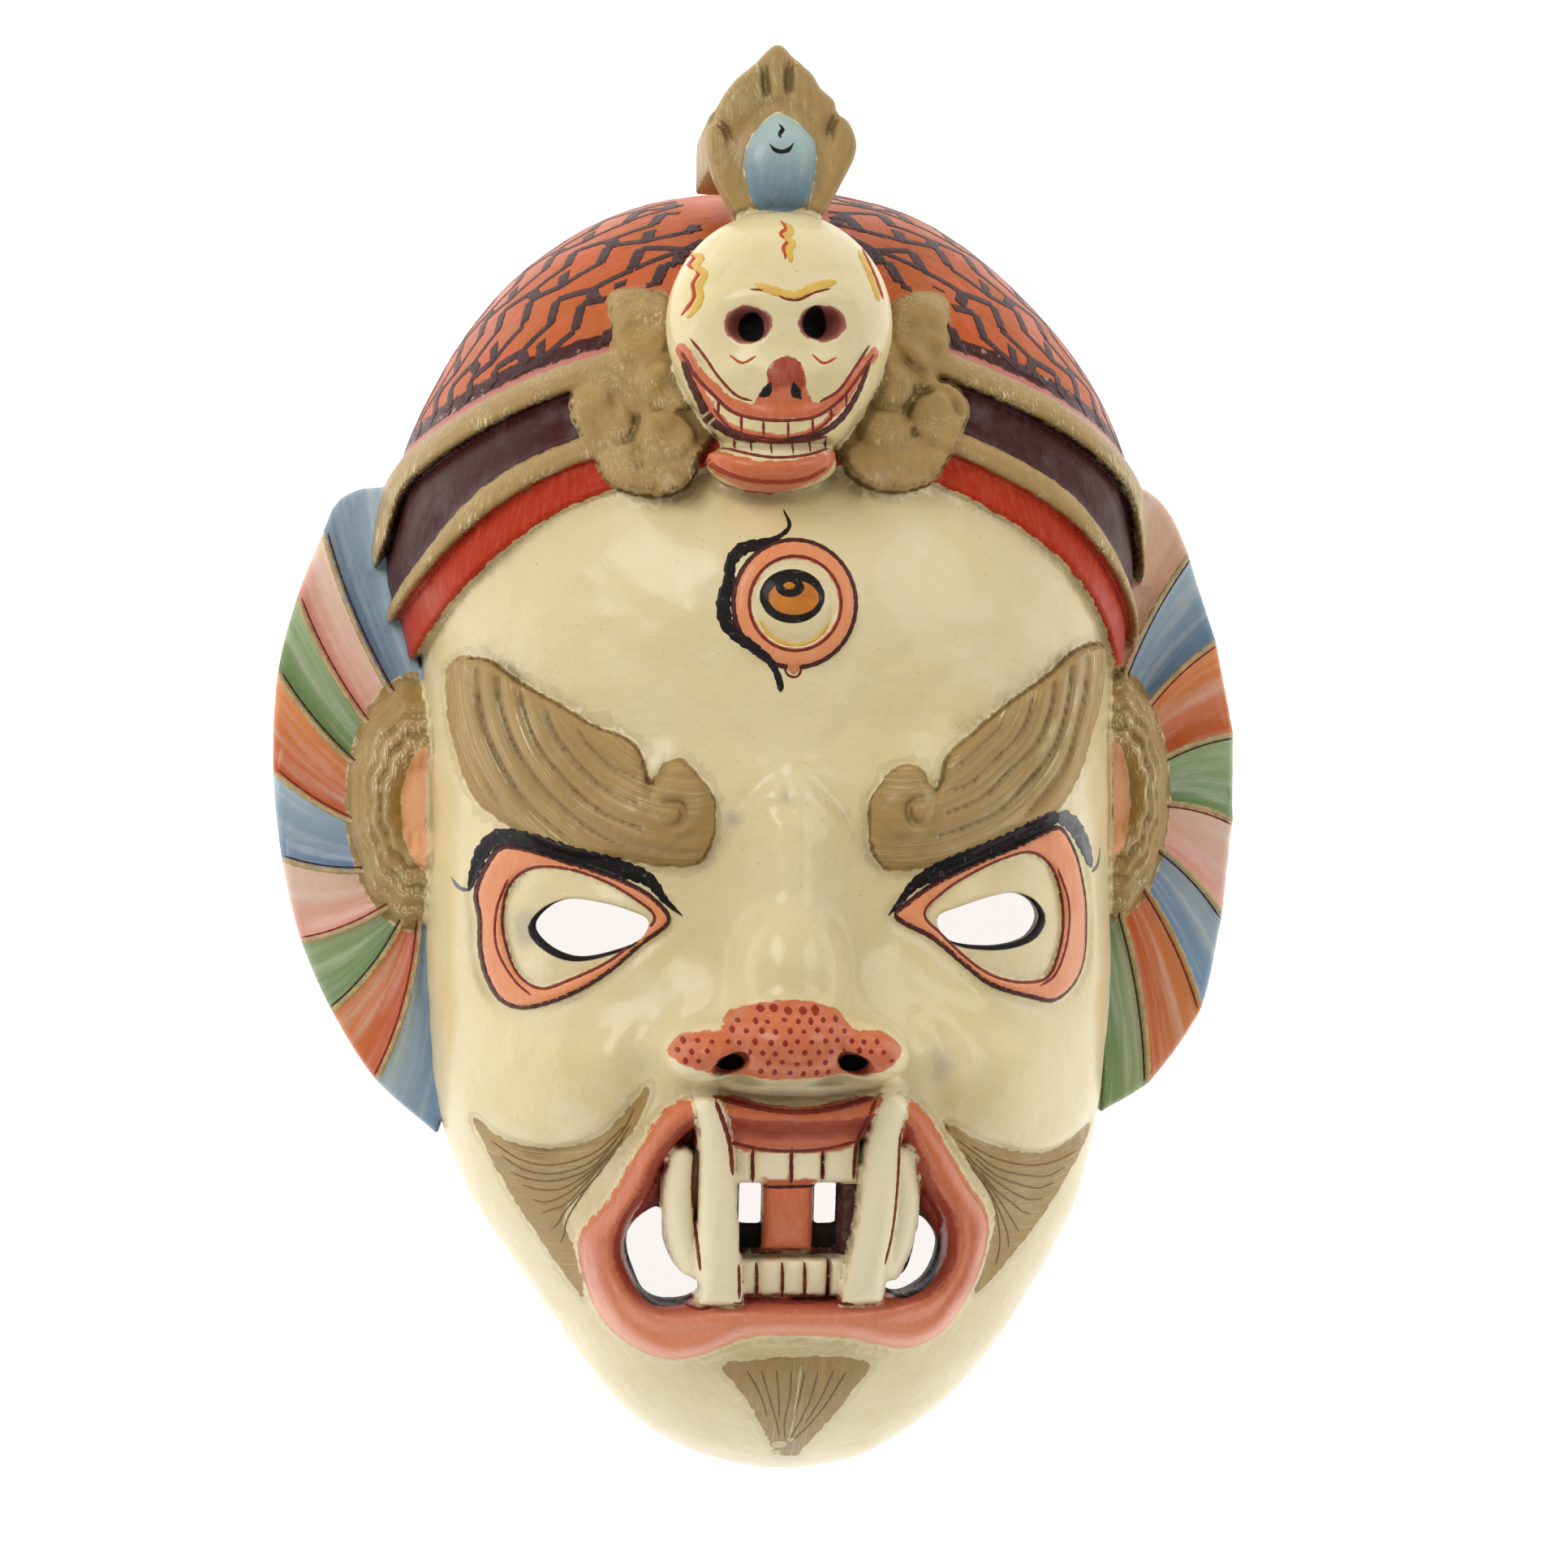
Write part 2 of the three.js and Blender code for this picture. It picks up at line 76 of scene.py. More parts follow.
# place, spread and rise of the soft swells and dips
SWELLS = [
    ((3, 65), (62, 38), 10), ((-74, 18), (26, 22), 7), ((80, 18), (26, 22), 7),
    ((-38, -4), (18, 16), 7), ((44, -4), (18, 16), 7), ((3, -6), (14, 16), 5),
    ((-63, -46), (34, 24), -10), ((70, -45), (34, 24), -10), ((-62, -45), (21, 17), 11),
    ((69, -44), (21, 17), 11), ((3, -40), (18, 34), 15), ((2, -82), (34, 20), 20),
    ((-62, -96), (32, 28), 18), ((70, -95), (32, 28), 18), ((5, -138), (58, 40), 14),
    ((8, -192), (38, 24), 16)]

# ---- front view raster ---------------------------------------------------------------------
FINE = 0.5
GRID = 1.0
LOW = np.array([-167.0, -235.0, -4.0])
HIGH = np.array([170.0, 237.0, 191.0])
gx = np.arange(LOW[0], HIGH[0] + 0.01, FINE)
gy = np.arange(LOW[1], HIGH[1] + 0.01, FINE)
X2, Y2 = np.meshgrid(gx, gy, indexing="ij")


def spline(points, closed, spacing=1.2):
    """A centripetal Catmull-Rom curve through points, sampled about every spacing mm."""
    p = np.asarray(points, float)
    n = len(p)
    if not closed:
        p = np.vstack([2 * p[0] - p[1], p, 2 * p[-1] - p[-2]])
    out = []
    for i in range(n if closed else n - 1):
        if closed:
            q = p[[i - 1, i, (i + 1) % n, (i + 2) % n]]
        else:
            q = p[i:i + 4]
        gaps = np.maximum(np.linalg.norm(np.diff(q, axis=0), axis=1), 1e-6) ** 0.5
        t0, t1, t2, t3 = np.concatenate([[0], np.cumsum(gaps)])
        count = max(2, int(np.linalg.norm(q[2] - q[1]) / spacing) + 1)
        t = np.linspace(t1, t2, count, endpoint=False)[:, None]
        a1 = (t1 - t) / (t1 - t0) * q[0] + (t - t0) / (t1 - t0) * q[1]
        a2 = (t2 - t) / (t2 - t1) * q[1] + (t - t1) / (t2 - t1) * q[2]
        a3 = (t3 - t) / (t3 - t2) * q[2] + (t - t2) / (t3 - t2) * q[3]
        b1 = (t2 - t) / (t2 - t0) * a1 + (t - t0) / (t2 - t0) * a2
        b2 = (t3 - t) / (t3 - t1) * a2 + (t - t1) / (t3 - t1) * a3
        out.append((t2 - t) / (t2 - t1) * b1 + (t - t1) / (t2 - t1) * b2)
    if not closed:
        out.append(p[-2][None, :])
    return np.vstack(out)


def window(points, margin):
    """Slices of the raster round a set of points."""
    low, high = points.min(0) - margin, points.max(0) + margin
    i = np.searchsorted(gx, [low[0], high[0]])
    j = np.searchsorted(gy, [low[1], high[1]])
    return slice(i[0], i[1]), slice(j[0], j[1])


def area(points, smooth=True, margin=12.0):
    """Signed distance to a closed outline over the raster, positive inside."""
    ring = spline(points, True, 2.0) if smooth else np.asarray(points, float)
    win = window(ring, margin)
    x, y = X2[win], Y2[win]
    best = np.full(x.shape, 1e9)
    inside = np.zeros(x.shape, bool)
    for a, b in zip(ring, np.roll(ring, -1, axis=0)):
        e = b - a
        wx, wy = x - a[0], y - a[1]
        t = np.clip((wx * e[0] + wy * e[1]) / max(e @ e, 1e-9), 0, 1)
        best = np.minimum(best, (wx - t * e[0]) ** 2 + (wy - t * e[1]) ** 2)
        if a[1] != b[1]:
            inside ^= ((a[1] > y) != (b[1] > y)) & (wx < e[0] * wy / e[1])
    out = np.full(X2.shape, -margin)
    out[win] = np.maximum(np.where(inside, 1, -1) * np.sqrt(best), -margin)
    return out


def track(points, margin=10.0, smooth=True, closed=False):
    """Distance to a line over the raster, and how far along it the nearest place is, 0 to 1."""
    path = spline(points, closed, 1.5) if smooth else np.asarray(points, float)
    if closed:
        path = np.vstack([path, path[:1]])
    win = window(path, margin)
    x, y = X2[win], Y2[win]
    best = np.full(x.shape, 1e9)
    along = np.zeros(x.shape)
    count = len(path) - 1
    for k in range(count):
        a, e = path[k], path[k + 1] - path[k]
        wx, wy = x - a[0], y - a[1]
        t = np.clip((wx * e[0] + wy * e[1]) / max(e @ e, 1e-9), 0, 1)
        d = (wx - t * e[0]) ** 2 + (wy - t * e[1]) ** 2
        near = d < best
        best[near] = d[near]
        along[near] = ((k + t) / count)[near]
    far = np.full(X2.shape, margin)
    far[win] = np.minimum(np.sqrt(best), margin)
    share = np.zeros(X2.shape)
    share[win] = along
    return far, share


def smoothstep(low, high, value):
    t = np.clip((value - low) / (high - low), 0, 1)
    return t * t * (3 - 2 * t)


def pillow(distance, radius):
    """A round-edged rise from 0 at an outline to 1 at radius inside it."""
    t = np.clip(distance / radius, 0, 1)
    return np.sqrt(1 - (1 - t) ** 2)


def bump(distance, width):
    return np.exp(-(distance / width) ** 2)


def clump(scale, seed):
    """Smooth random heights over the raster, about -1 to 1, with lumps scale mm across."""
    dice = np.random.default_rng(seed)
    nx, ny = int(np.ptp(gx) / scale) + 3, int(np.ptp(gy) / scale) + 3
    value = dice.uniform(-1, 1, (nx, ny))

    def spread(table, places):
        at = places / scale
        low = at.astype(int)
        part = at - low
        part = (part * part * (3 - 2 * part))[:, None]
        return table[low] * (1 - part) + table[low + 1] * part

    rows = spread(value, gx - gx[0])
    return spread(rows.T, gy - gy[0]).T


# ---- outlines of the carving ---------------------------------------------------------------
BROWS = [
    [(-101, 39), (-90.5, 39), (-81, 32), (-68, 24), (-58.5, 18), (-47, 13), (-44, 9), (-42, 1),
     (-40, -3), (-37, 5), (-32, 7), (-26, 1.5), (-22, -8), (-22, -17), (-26, -24), (-34, -25),
     (-48, -23), (-66, -21), (-81, -14), (-93, -5), (-99, 9), (-102, 25)],
    [(110, 44.5), (98.6, 43), (85.6, 33.6), (71, 24), (60, 15), (52, 8), (50, 1), (47, -3),
     (43, 4), (38, 5.5), (31, 0), (27.6, -9), (28, -19), (32, -25.5), (40, -26), (55, -22.5),
     (72, -15), (89, -9), (98, 1.6), (105, 17), (110, 30.5)]]
BROW_SWEEP = [(-29, 36), (37, 40)]  # centres that the strands of hair curve round
BROW_CURLS = [((-32.5, -8), 10.5), ((38.5, -9), 10.5)]
CURL_GROOVES = [
    [(-46, 5.2), (-44.8, -4.7), (-41.8, -11), (-36.3, -13.7), (-31.3, -11), (-31.8, -6.5),
     (-36.3, -6)],
    [(50.9, -0.5), (48.4, -9), (43.8, -13), (39.3, -11), (38.6, -6.5), (42.3, -4.5)]]

EYE_RINGS = [
    [(-34.5, -42.3), (-39.5, -35.5), (-48.2, -30.4), (-65.5, -24.4), (-78, -20.6), (-86, -20),
     (-90.8, -26), (-94, -35), (-92.8, -43), (-92.6, -53), (-90.4, -62), (-86, -68.8),
     (-80, -70.8), (-68, -67.4), (-55.6, -60.5), (-43.2, -50)],
    [(35.7, -40.9), (41, -36), (48, -31.2), (61.4, -25), (72.5, -20.6), (84.1, -16),
     (91.7, -13.8), (97.6, -20.6), (101.8, -32.4), (103.4, -45.6), (102.2, -57.3),
     (98.2, -64.2), (90, -69), (80.9, -67.4), (66.7, -62.9), (58.6, -57), (48.1, -48.4)]]
EYE_WHITES = [
    [(-85.3, -42.3), (-83, -32), (-77.5, -27.2), (-68, -26.6), (-55.6, -30.2), (-46, -35.6),
     (-39.5, -41.5), (-43.2, -46.5), (-53.1, -54.7), (-65.5, -61), (-74.1, -63.9),
     (-80.3, -60.2), (-84.1, -51.3)],
    [(45.5, -40.5), (52, -33.5), (61.4, -28), (72.5, -23.5), (81.2, -22), (88, -26),
     (91.9, -34.7), (92.8, -45.1), (90.9, -54.1), (87, -61), (78.1, -62.2), (68, -59.9),
     (60, -55), (51, -46.7)]]
EYE_HOLES = [
    [(-75.4, -44.5), (-71.7, -39), (-65.5, -36), (-55.6, -37), (-48, -39), (-40.7, -42.7),
     (-43, -48), (-50.6, -51.6), (-63, -53.8), (-71.7, -50)],
    [(49.4, -41.6), (56, -38.6), (66.7, -35.4), (75, -34.3), (81, -37), (84, -42),
     (81, -47), (75, -49.6), (64, -50.6), (52, -48)]]

THIRD_EYE = (3.6, 55.8)
THIRD_RING = (19.2, 20.0)

LIP_OUTER = [
    (5, -99.4), (-10, -98.6), (-27, -96.5), (-36, -101), (-43, -112), (-52, -130),
    (-60.6, -143), (-61, -150.5), (-57.5, -164), (-52, -174), (-43, -181), (-33, -184),
    (-21, -181), (-9, -175), (5, -174),
    (22, -175), (33, -178), (44, -180), (55, -176), (63, -165), (68, -152), (68.5, -138),
    (60, -125), (52, -113), (44, -101), (36, -96.5), (20, -98.6)]
LIP_INNER = [
    (5, -107.6), (-10, -107.2), (-25.5, -106), (-35.5, -117), (-40, -128), (-46, -139),
    (-47, -149), (-43, -158),
    (-36.5, -164), (-24, -163), (-14, -162), (5, -162), (27, -162), (37, -161),
    (48, -157.5), (53, -149), (52, -137), (45, -126), (40, -116), (34, -106), (20, -107.2)]
MOUTH = [
    (5, -99.6), (-10, -98.8), (-26, -97), (-35.5, -113), (-40, -126), (-46, -139),
    (-47, -149), (-43, -158),
    (-36.5, -164.5), (-24, -164), (-14, -163), (5, -163), (27, -163), (37, -162),
    (48, -158), (53, -149), (52, -137), (45, -124), (40, -112), (36, -97), (20, -98.8)]
GUM = [(-21.2, -96.5), (3, -100), (28, -97.5), (23.4, -110.5), (3, -113.5), (-17, -110.5)]
UPPER_TEETH = {"x": (-15.2, -8.8, 3.2, 13, 24.4), "y": (-111, -124.5)}
LOWER_TEETH = {"x": (-12.5, -6.5, 1.5, 8.5, 16, 21.5), "y": (-148, -161.5)}
TONGUE = {"x": (-5.2, 10.4), "y": (-123.5, -146)}
DARK_MOUTH = {"x": (-12.6, 20), "y": (-123.5, -150.5)}
INNER_FANGS = [
    ([(-24, -95), (-20.5, -112), (-19.5, -135), (-18, -162)], 6.2, 0.4),
    ([(35, -95), (31.5, -112), (30, -135), (26.5, -162)], 6.2, 0.4)]
OUTER_FANGS = [
    ([(-31, -117), (-31.5, -131), (-29.8, -143), (-25.5, -154)], 5.0, 0.1),
    ([(38, -116.5), (39.7, -130), (38.4, -143), (33.5, -155)], 5.0, 0.1)]
SIDE_GAPS = [
    [(-46, -142), (-42, -136), (-36.5, -133), (-35, -144), (-31, -152.5), (-24.5, -156.5),
     (-24, -160), (-27, -162.5), (-35, -164), (-40, -162), (-44, -154), (-46, -147.5)],
    [(45, -136), (50, -140.5), (52, -145), (50.6, -153), (47, -158), (40, -161), (36, -160),
     (34, -157), (41, -155), (43.4, -149.5), (44.5, -141.5)]]
TONGUE_GAPS = [(-12.2, -5.4, -124.6, -137.6), (11.2, 18, -124.6, -137.6)]

MOUSTACHE = [
    [(-94.5, -107), (-85, -113.5), (-70, -115.5), (-55.5, -110), (-40.5, -93), (-45.6, -108),
     (-58, -124), (-66, -138), (-62, -150), (-58.8, -166), (-74, -145), (-87, -124)],
    [(51.5, -106), (67, -113.5), (88.5, -118), (108.5, -111), (100, -125), (82.5, -148),
     (66.5, -164), (69.5, -150), (70.5, -134), (60, -119)]]
GOATEE = [(-16, -184.5), (-5, -182.6), (5.4, -181.3), (20, -181.6), (31.6, -185.2),
          (27, -193), (21.7, -202), (15, -213), (10, -221.5), (4, -217), (-4.4, -202),
          (-11, -192)]

NOSE_OUTLINE = [
    (-37.5, -80), (-33, -76.8), (-26, -75.4), (-20.6, -74.6), (-17.6, -70.2), (-10, -67),
    (-1, -66), (8, -66.5), (16.4, -69.8), (20.6, -75.2), (27, -75), (32, -77.8), (35, -81),
    (32, -86), (26, -88.6), (16, -89), (6, -89.8), (-4, -90), (-16.5, -89), (-28, -87), (-35, -83.8)]

# helmet: distance outward from BAND_CENTRE in a superellipse measure
BAND_CENTRE = (1.0, -16.0)
BAND_WIDE, BAND_FULLNESS = 1.1, 2.2
RED_FROM, RED_TO = 116.0, 127.0
MAROON_FROM, MAROON_TO = 134.5, 149.8
GOLD_TO, PINK_TO, WORN_TO = 158.5, 160.2, 164.5
HELMET_FOOT = 38.0
HELMET_PROFILE = [
    (115.4, 0), (116.2, 2.2), (117.5, 3.6), (126.4, 3.8), (127.2, 6.2), (128.6, 7.6), (131, 8),
    (133.4, 7.6), (134.5, 6.2), (135.2, 4.6), (142, 5), (149.2, 4.6), (150, 7), (151.4, 8.6),
    (154.5, 9.2), (157.4, 8.6), (158.6, 7), (159.4, 6), (170, 6.4), (400, 6.4)]

CLOUDS = [
    {"outline": [(-50.4, 156), (-50.3, 145.6), (-51, 137.3), (-54.9, 132), (-61.3, 128.3),
                 (-64, 121.7), (-61.7, 110.9), (-56.9, 102.9), (-53.3, 94.9), (-43.5, 90.6),
                 (-33.7, 90.4), (-28, 94.4), (-25, 102.2), (-20.6, 110), (-20.9, 117.9),
                 (-25.1, 125.9), (-29.7, 136.7), (-31.7, 150.5), (-35.2, 156)],
     "lobes": [(-42, 146, 10, 15, 4.2), (-33, 126, 12, 10, 5.6), (-55, 117, 11, 13, 4.8),
               (-36, 108, 10, 9, 6.2), (-47, 98, 11, 9, 4.4), (-31, 98, 10, 9, 4.0)],
     "grooves": [[(-53.6, 130.7), (-50.3, 124.9), (-44.5, 113.3), (-44.5, 103.2), (-43.6, 98.2)],
                 [(-43.6, 128.3), (-35.3, 133.3), (-31.1, 132.1)],
                 [(-63.7, 125.7), (-57.8, 126.5), (-52, 123.2), (-50.7, 118.2)]]},
    {"outline": [(38, 151), (42.4, 155), (49.4, 157), (56.2, 155.4), (56, 146.3), (53.9, 132.4),
                 (51, 127.5), (57.5, 125.3), (60.6, 119.2), (58, 111.1), (53.4, 103),
                 (47.6, 95), (39.5, 91.8), (29.2, 92.2), (21.7, 97.1), (18.2, 103.6),
                 (14.6, 108.8), (21.5, 118.1), (27.1, 126.2), (31.5, 134.3), (35.6, 137.1)],
     "lobes": [(47, 145, 10, 14, 4.2), (34, 126, 11, 9, 5.6), (51, 116, 10, 12, 4.8),
               (33, 110, 9, 8, 6.2), (42, 100, 11, 9, 4.4), (27, 99, 10, 8, 4.0)],
     "grooves": [[(51.9, 130.5), (48.6, 124.6), (42.7, 120.4), (39.3, 113.7)],
                 [(43.5, 122.9), (48.6, 123.8), (52.8, 123.8), (57.4, 117.1)],
                 [(30.9, 132.1), (36, 132.9), (41, 130.4), (43.5, 124.6)]]}]

SKULL = (-0.2, 143.0, 136.0)
SKULL_RADIUS = 35.3
SKULL_SOCKETS = [((-12.1, 140.3), (6.6, 5.2)), ((10.7, 140.8), (6.8, 5.0))]
SKULL_GRIN = [(-31.5, 134.5), (-27.5, 127.5), (-22.5, 121.5), (-16.3, 116.2), (-7.7, 113.6),
              (-0.2, 113.2), (9.7, 115), (17.5, 120.8), (23, 127.5), (28, 133)]
SKULL_LIP = [(-29.5, 131), (-24, 118), (-16.5, 109.6), (-7.7, 106.7), (2, 106.2), (9.7, 109.2),
             (18, 117.5), (25.5, 130)]
SKULL_JAW = [(-25.5, 103.5), (-20, 102.5), (-12, 99.8), (-2.7, 99), (7, 100.6), (13.5, 103.6),
             (16.8, 102.8), (13, 96), (6, 91.8), (-3, 90.2), (-13, 91.4), (-21, 95.5)]

LEAF = {"from": 124.5, "to": 138.5}
LEAF_OUTLINE = [
    (-0.5, 231), (4.5, 227), (11, 221), (13, 217.3), (17.3, 213.6), (18.5, 209.5), (21.3, 207.5),
    (24, 202), (24, 197), (20, 188.5), (15.5, 180.5), (12, 176), (-12, 176), (-16, 181),
    (-20.6, 189.6), (-22.8, 198), (-22.4, 204), (-20, 207.5), (-19.8, 210.3), (-14.6, 218.7),
    (-8, 224.5)]
# below the height "neck" the block is only as wide as "neck_x"
CREST_BLOCK = {"x": (-22, 16), "y": (100, 210), "z": (60, 128), "round": 11,
               "neck": 191.5, "neck_x": (-10, 9)}
JEWEL_OUTLINE = [(-1, 209), (5, 206.3), (10.5, 200.5), (11.3, 196.5), (9.8, 184), (7.5, 179.5),
                 (0, 178), (-7, 178.8), (-10, 184), (-11.4, 194), (-9, 201.5), (-5, 206.3)]

EARS = [((-112, -6), (23, 42)), ((119, -3), (20, 42))]
EAR_PROFILE = [(0, 41), (0.25, 40), (0.34, 43), (0.42, 45.5), (0.48, 44), (0.52, 40.5),
               (0.57, 42), (0.63, 41), (0.67, 37), (0.72, 38), (0.78, 35.5), (0.82, 31.5),
               (0.87, 31.5), (0.93, 28), (0.98, 22), (1.0, 17), (1.2, 8)]

FAN_BACK = 3.0
FAN_BOW = 3.0
FAN_RISE = (24.0, 14.0, 3.6)  # at the root, at the edge, and how deep a pleat dips
FANS = [
    {"roots": [(-108, 30), (-114, 19), (-120, 9), (-120, -4), (-118, -18), (-116, -27),
               (-113, -34), (-114, -39), (-111, -44), (-104, -50)],
     "ends": [(-122, 99), (-143.5, 84), (-152.2, 62.2), (-158.6, 36.9), (-160.1, 4.4),
              (-157.2, -25.2), (-150.7, -52.6), (-140.6, -75.7), (-125.8, -98.9), (-105.3, -117.1)],
     "corner": [(-131, 98.6), (-138.8, 94.4)],
     "paint": ["blue", "pink", "green", "orange", "blue", "pink", "green", "vermilion", "blue"]},
    {"roots": [(112, 32), (119, 21), (123, 13), (125, 0), (126, -7), (124, -14), (122, -22),
               (119, -31), (110, -50)],
     "ends": [(130, 100.5), (147.3, 77.5), (156.6, 48.3), (162.5, 16.9), (162.4, -12.4),
              (158.8, -44.5), (151.6, -75.9), (133.5, -101), (117, -111)],
     "corner": [(136.5, 97.2), (142.6, 89.5)],
     "paint": ["peach", "blue", "orange", "green", "pink", "blue", "orange", "green"]}]

# ---- paint colours, as sRGB ----------------------------------------------------------------
COLOURS = {
    "cream": (230, 212, 166), "gold": (177, 145, 89), "maroon": (68, 30, 28),
    "red": (178, 50, 26), "orange": (198, 90, 40), "salmon": (208, 112, 72),
    # the lower lip's paler colour is a painted highlight
    "lip_edge": (166, 70, 50), "lip_highlight": (236, 150, 112), "blue": (102, 132, 162),
    "blue_pale": (166, 186, 196),
    "green": (108, 138, 84), "green_pale": (160, 176, 130), "pink": (228, 150, 134),
    "pink_pale": (238, 205, 180), "peach": (234, 180, 146), "vermilion": (200, 84, 54),
    "orange_pale": (226, 140, 84), "black": (34, 31, 31), "wood": (150, 116, 78),
    # the pale line on the fans' ridges is paint and painted highlight
    "lattice": (66, 38, 38), "line": (132, 56, 46), "dark_line": (86, 48, 46),
    "eye_ring": (230, 146, 98), "yellow": (226, 184, 92), "ridge_line_and_highlight": (206, 182, 130),
    # the brown laid into hollows and creases stands for dirt and painted shade
    "jewel_top": (178, 198, 192), "jewel_low": (102, 128, 140), "dirt_and_shade": (110, 84, 48),
    "concha": (244, 180, 134), "pale": (216, 202, 156), "socket": (168, 100, 86),
    "strand": (134, 108, 64), "tooth": (246, 232, 194), "grey": (128, 130, 132),
    "spot": (150, 52, 42), "crack": (196, 84, 44), "iris": (206, 126, 52)}


def linear(name):
    c = np.array(COLOURS[name]) / 255
    return np.where(c <= 0.04045, c / 12.92, ((c + 0.055) / 1.055) ** 2.4)


# ---- relief in front view ------------------------------------------------------------------
def helmet_measure(x, y):
    """Distance out from the centre of the arch; above the temples the outer bands narrow."""
    across = np.abs(x - BAND_CENTRE[0]) / BAND_WIDE
    up = np.maximum(y - BAND_CENTRE[1], 0)
    whole = (across ** BAND_FULLNESS + up ** BAND_FULLNESS) ** (1 / BAND_FULLNESS)
    squeeze = 1 + 1.1 * smoothstep(100, 55, y)
    return np.where(whole > RED_TO, RED_TO + (whole - RED_TO) * squeeze, whole)


BAND = helmet_measure(X2, Y2) + 0.7 * clump(30, 3)


def box_area(x, y, soften=0.0):
    """Signed distance to an upright rectangle, positive inside."""
    dx = np.minimum(X2 - min(x), max(x) - X2)
    dy = np.minimum(Y2 - min(y), max(y) - Y2)
    return np.minimum(dx, dy) + soften


def helmet_relief():
    rise = np.interp(BAND, *zip(*HELMET_PROFILE))
    return rise * smoothstep(HELMET_FOOT - 2, HELMET_FOOT + 2, Y2)


def brow_relief(outline, sweep, curl, groove):
    inside = area(outline)
    (cx, cy), radius = curl
    off = np.hypot(X2 - cx, Y2 - cy)
    radial = np.hypot(X2 - sweep[0], Y2 - sweep[1]) + 1.2 * clump(14, 5)
    strands = np.abs(np.sin(math.pi * radial / 6.4)) ** 0.6
    hair = 6.2 * pillow(inside, 5) - 1.9 * (1 - strands) * smoothstep(0.5, 4, inside)
    winding, _ = track(groove)
    ball = 8.4 * pillow(radius + 1 - off, 8) - 2.6 * bump(winding, 1.5)
    hair = np.where(off < radius + 2, hair + 1.9 * (1 - strands) * smoothstep(0.5, 4, inside), hair)
    return np.maximum(hair, ball * (inside > -1))


def eye_relief(ring, white):
    outer, inner = area(ring), area(white)
    rim = np.minimum(outer, -inner)
    return 2.4 * pillow(rim, 2.6) - 1.0 * bump(outer + 1.5, 1.6) + 1.6 * pillow(inner, 12)


def third_eye_relief():
    dx, dy = (X2 - THIRD_EYE[0]) / THIRD_RING[0], (Y2 - THIRD_EYE[1]) / THIRD_RING[1]
    r = np.hypot(dx, dy)
    ring = 2.2 * pillow((1 - r) * 19, 3.2) * smoothstep(0.62, 0.7, r)
    return ring + 4.2 * pillow((0.66 - r) * 19, 12.5)


def stand(floor, distance, radius, base, rise):
    """Raises a floor to a round-edged pad inside the place where distance is positive."""
    return np.where(distance > 0, np.maximum(floor, base + rise * pillow(distance, radius)), floor)


def fang_area(path, radius, flare):
    """Signed distance to a fang in front view, wider by flare and cut off at its lower end."""
    away, along = track(path)
    return np.minimum(radius * (1 + flare * (along - 0.5)) - away, Y2 - path[-1][1] + 2.2)


def mouth_relief(height):
    """The open mouth: a sunk floor with gum, teeth, tongue and fangs standing on it."""
    opening = area(MOUTH)
    outer, inner = area(LIP_OUTER), area(LIP_INNER)
    roll = np.minimum(outer, -inner)
    lips = 8.2 * pillow(roll, 6.8) + 1.2 * bump(roll - 5.5, 3)
    inside = np.full(X2.shape, -4.0)
    inside = np.where(box_area(DARK_MOUTH["x"], DARK_MOUTH["y"]) > 0, -7.0, inside)
    inside = stand(inside, area(GUM) + 1.5, 5, -0.5, 4.6)
    for teeth, rise in ((UPPER_TEETH, 4.2), (LOWER_TEETH, 4.4)):
        for left, right in zip(teeth["x"], teeth["x"][1:]):
            inside = stand(inside, box_area((left, right), teeth["y"], -0.15), 2.2, -2.2, rise)
    inside = stand(inside, box_area(TONGUE["x"], TONGUE["y"]), 4, -4.5, 4.5)
    for path, radius, flare in OUTER_FANGS:
        inside = stand(inside, fang_area(path, radius, flare), radius, 1.2, radius * 1.1)
    for path, radius, flare in INNER_FANGS:
        inside = stand(inside, fang_area(path, radius, flare), radius, 4.4, radius)
    blend = smoothstep(-0.8, 0.8, opening)
    return np.maximum(height + lips, 0) * (1 - blend) + blend * np.maximum(
        inside, np.where(roll > 0, lips, -99))


def cloud_relief(cloud):
    inside = area(cloud["outline"])
    lumps = 1.3 * clump(7, 51) + 0.6 * clump(4, 52)
    rise = 8.6 * pillow(inside, 4) + lumps
    for x, y, rx, ry, high in cloud["lobes"]:
        lobe = (1 - np.hypot((X2 - x) / rx, (Y2 - y) / ry)) * min(rx, ry)
        rise = np.maximum(rise, 8.0 + lumps + 0.62 * high * pillow(np.minimum(lobe, inside + 1), 4))
    for groove in cloud["grooves"]:
        away, _ = track(groove)
        rise = rise - 1.8 * bump(away, 1.5)
    return rise * (inside > 0)


def fold(points, width, depth):
    away, share = track(points)
    return depth * bump(away, width) * np.sin(math.pi * np.clip(share, 0.06, 0.94)) ** 0.5


def face_relief():
    height = 0.45 * clump(17, 21) + 0.25 * clump(7, 22)
    for shape in zip(BROWS, BROW_SWEEP, BROW_CURLS, CURL_GROOVES):
        height = height + brow_relief(*shape)
    for ring, white in zip(EYE_RINGS, EYE_WHITES):
        height = height + eye_relief(ring, white)
    height = height + third_eye_relief()
    for points, width, depth in FOLDS:
        height = height + fold(points, width, depth)
    return height


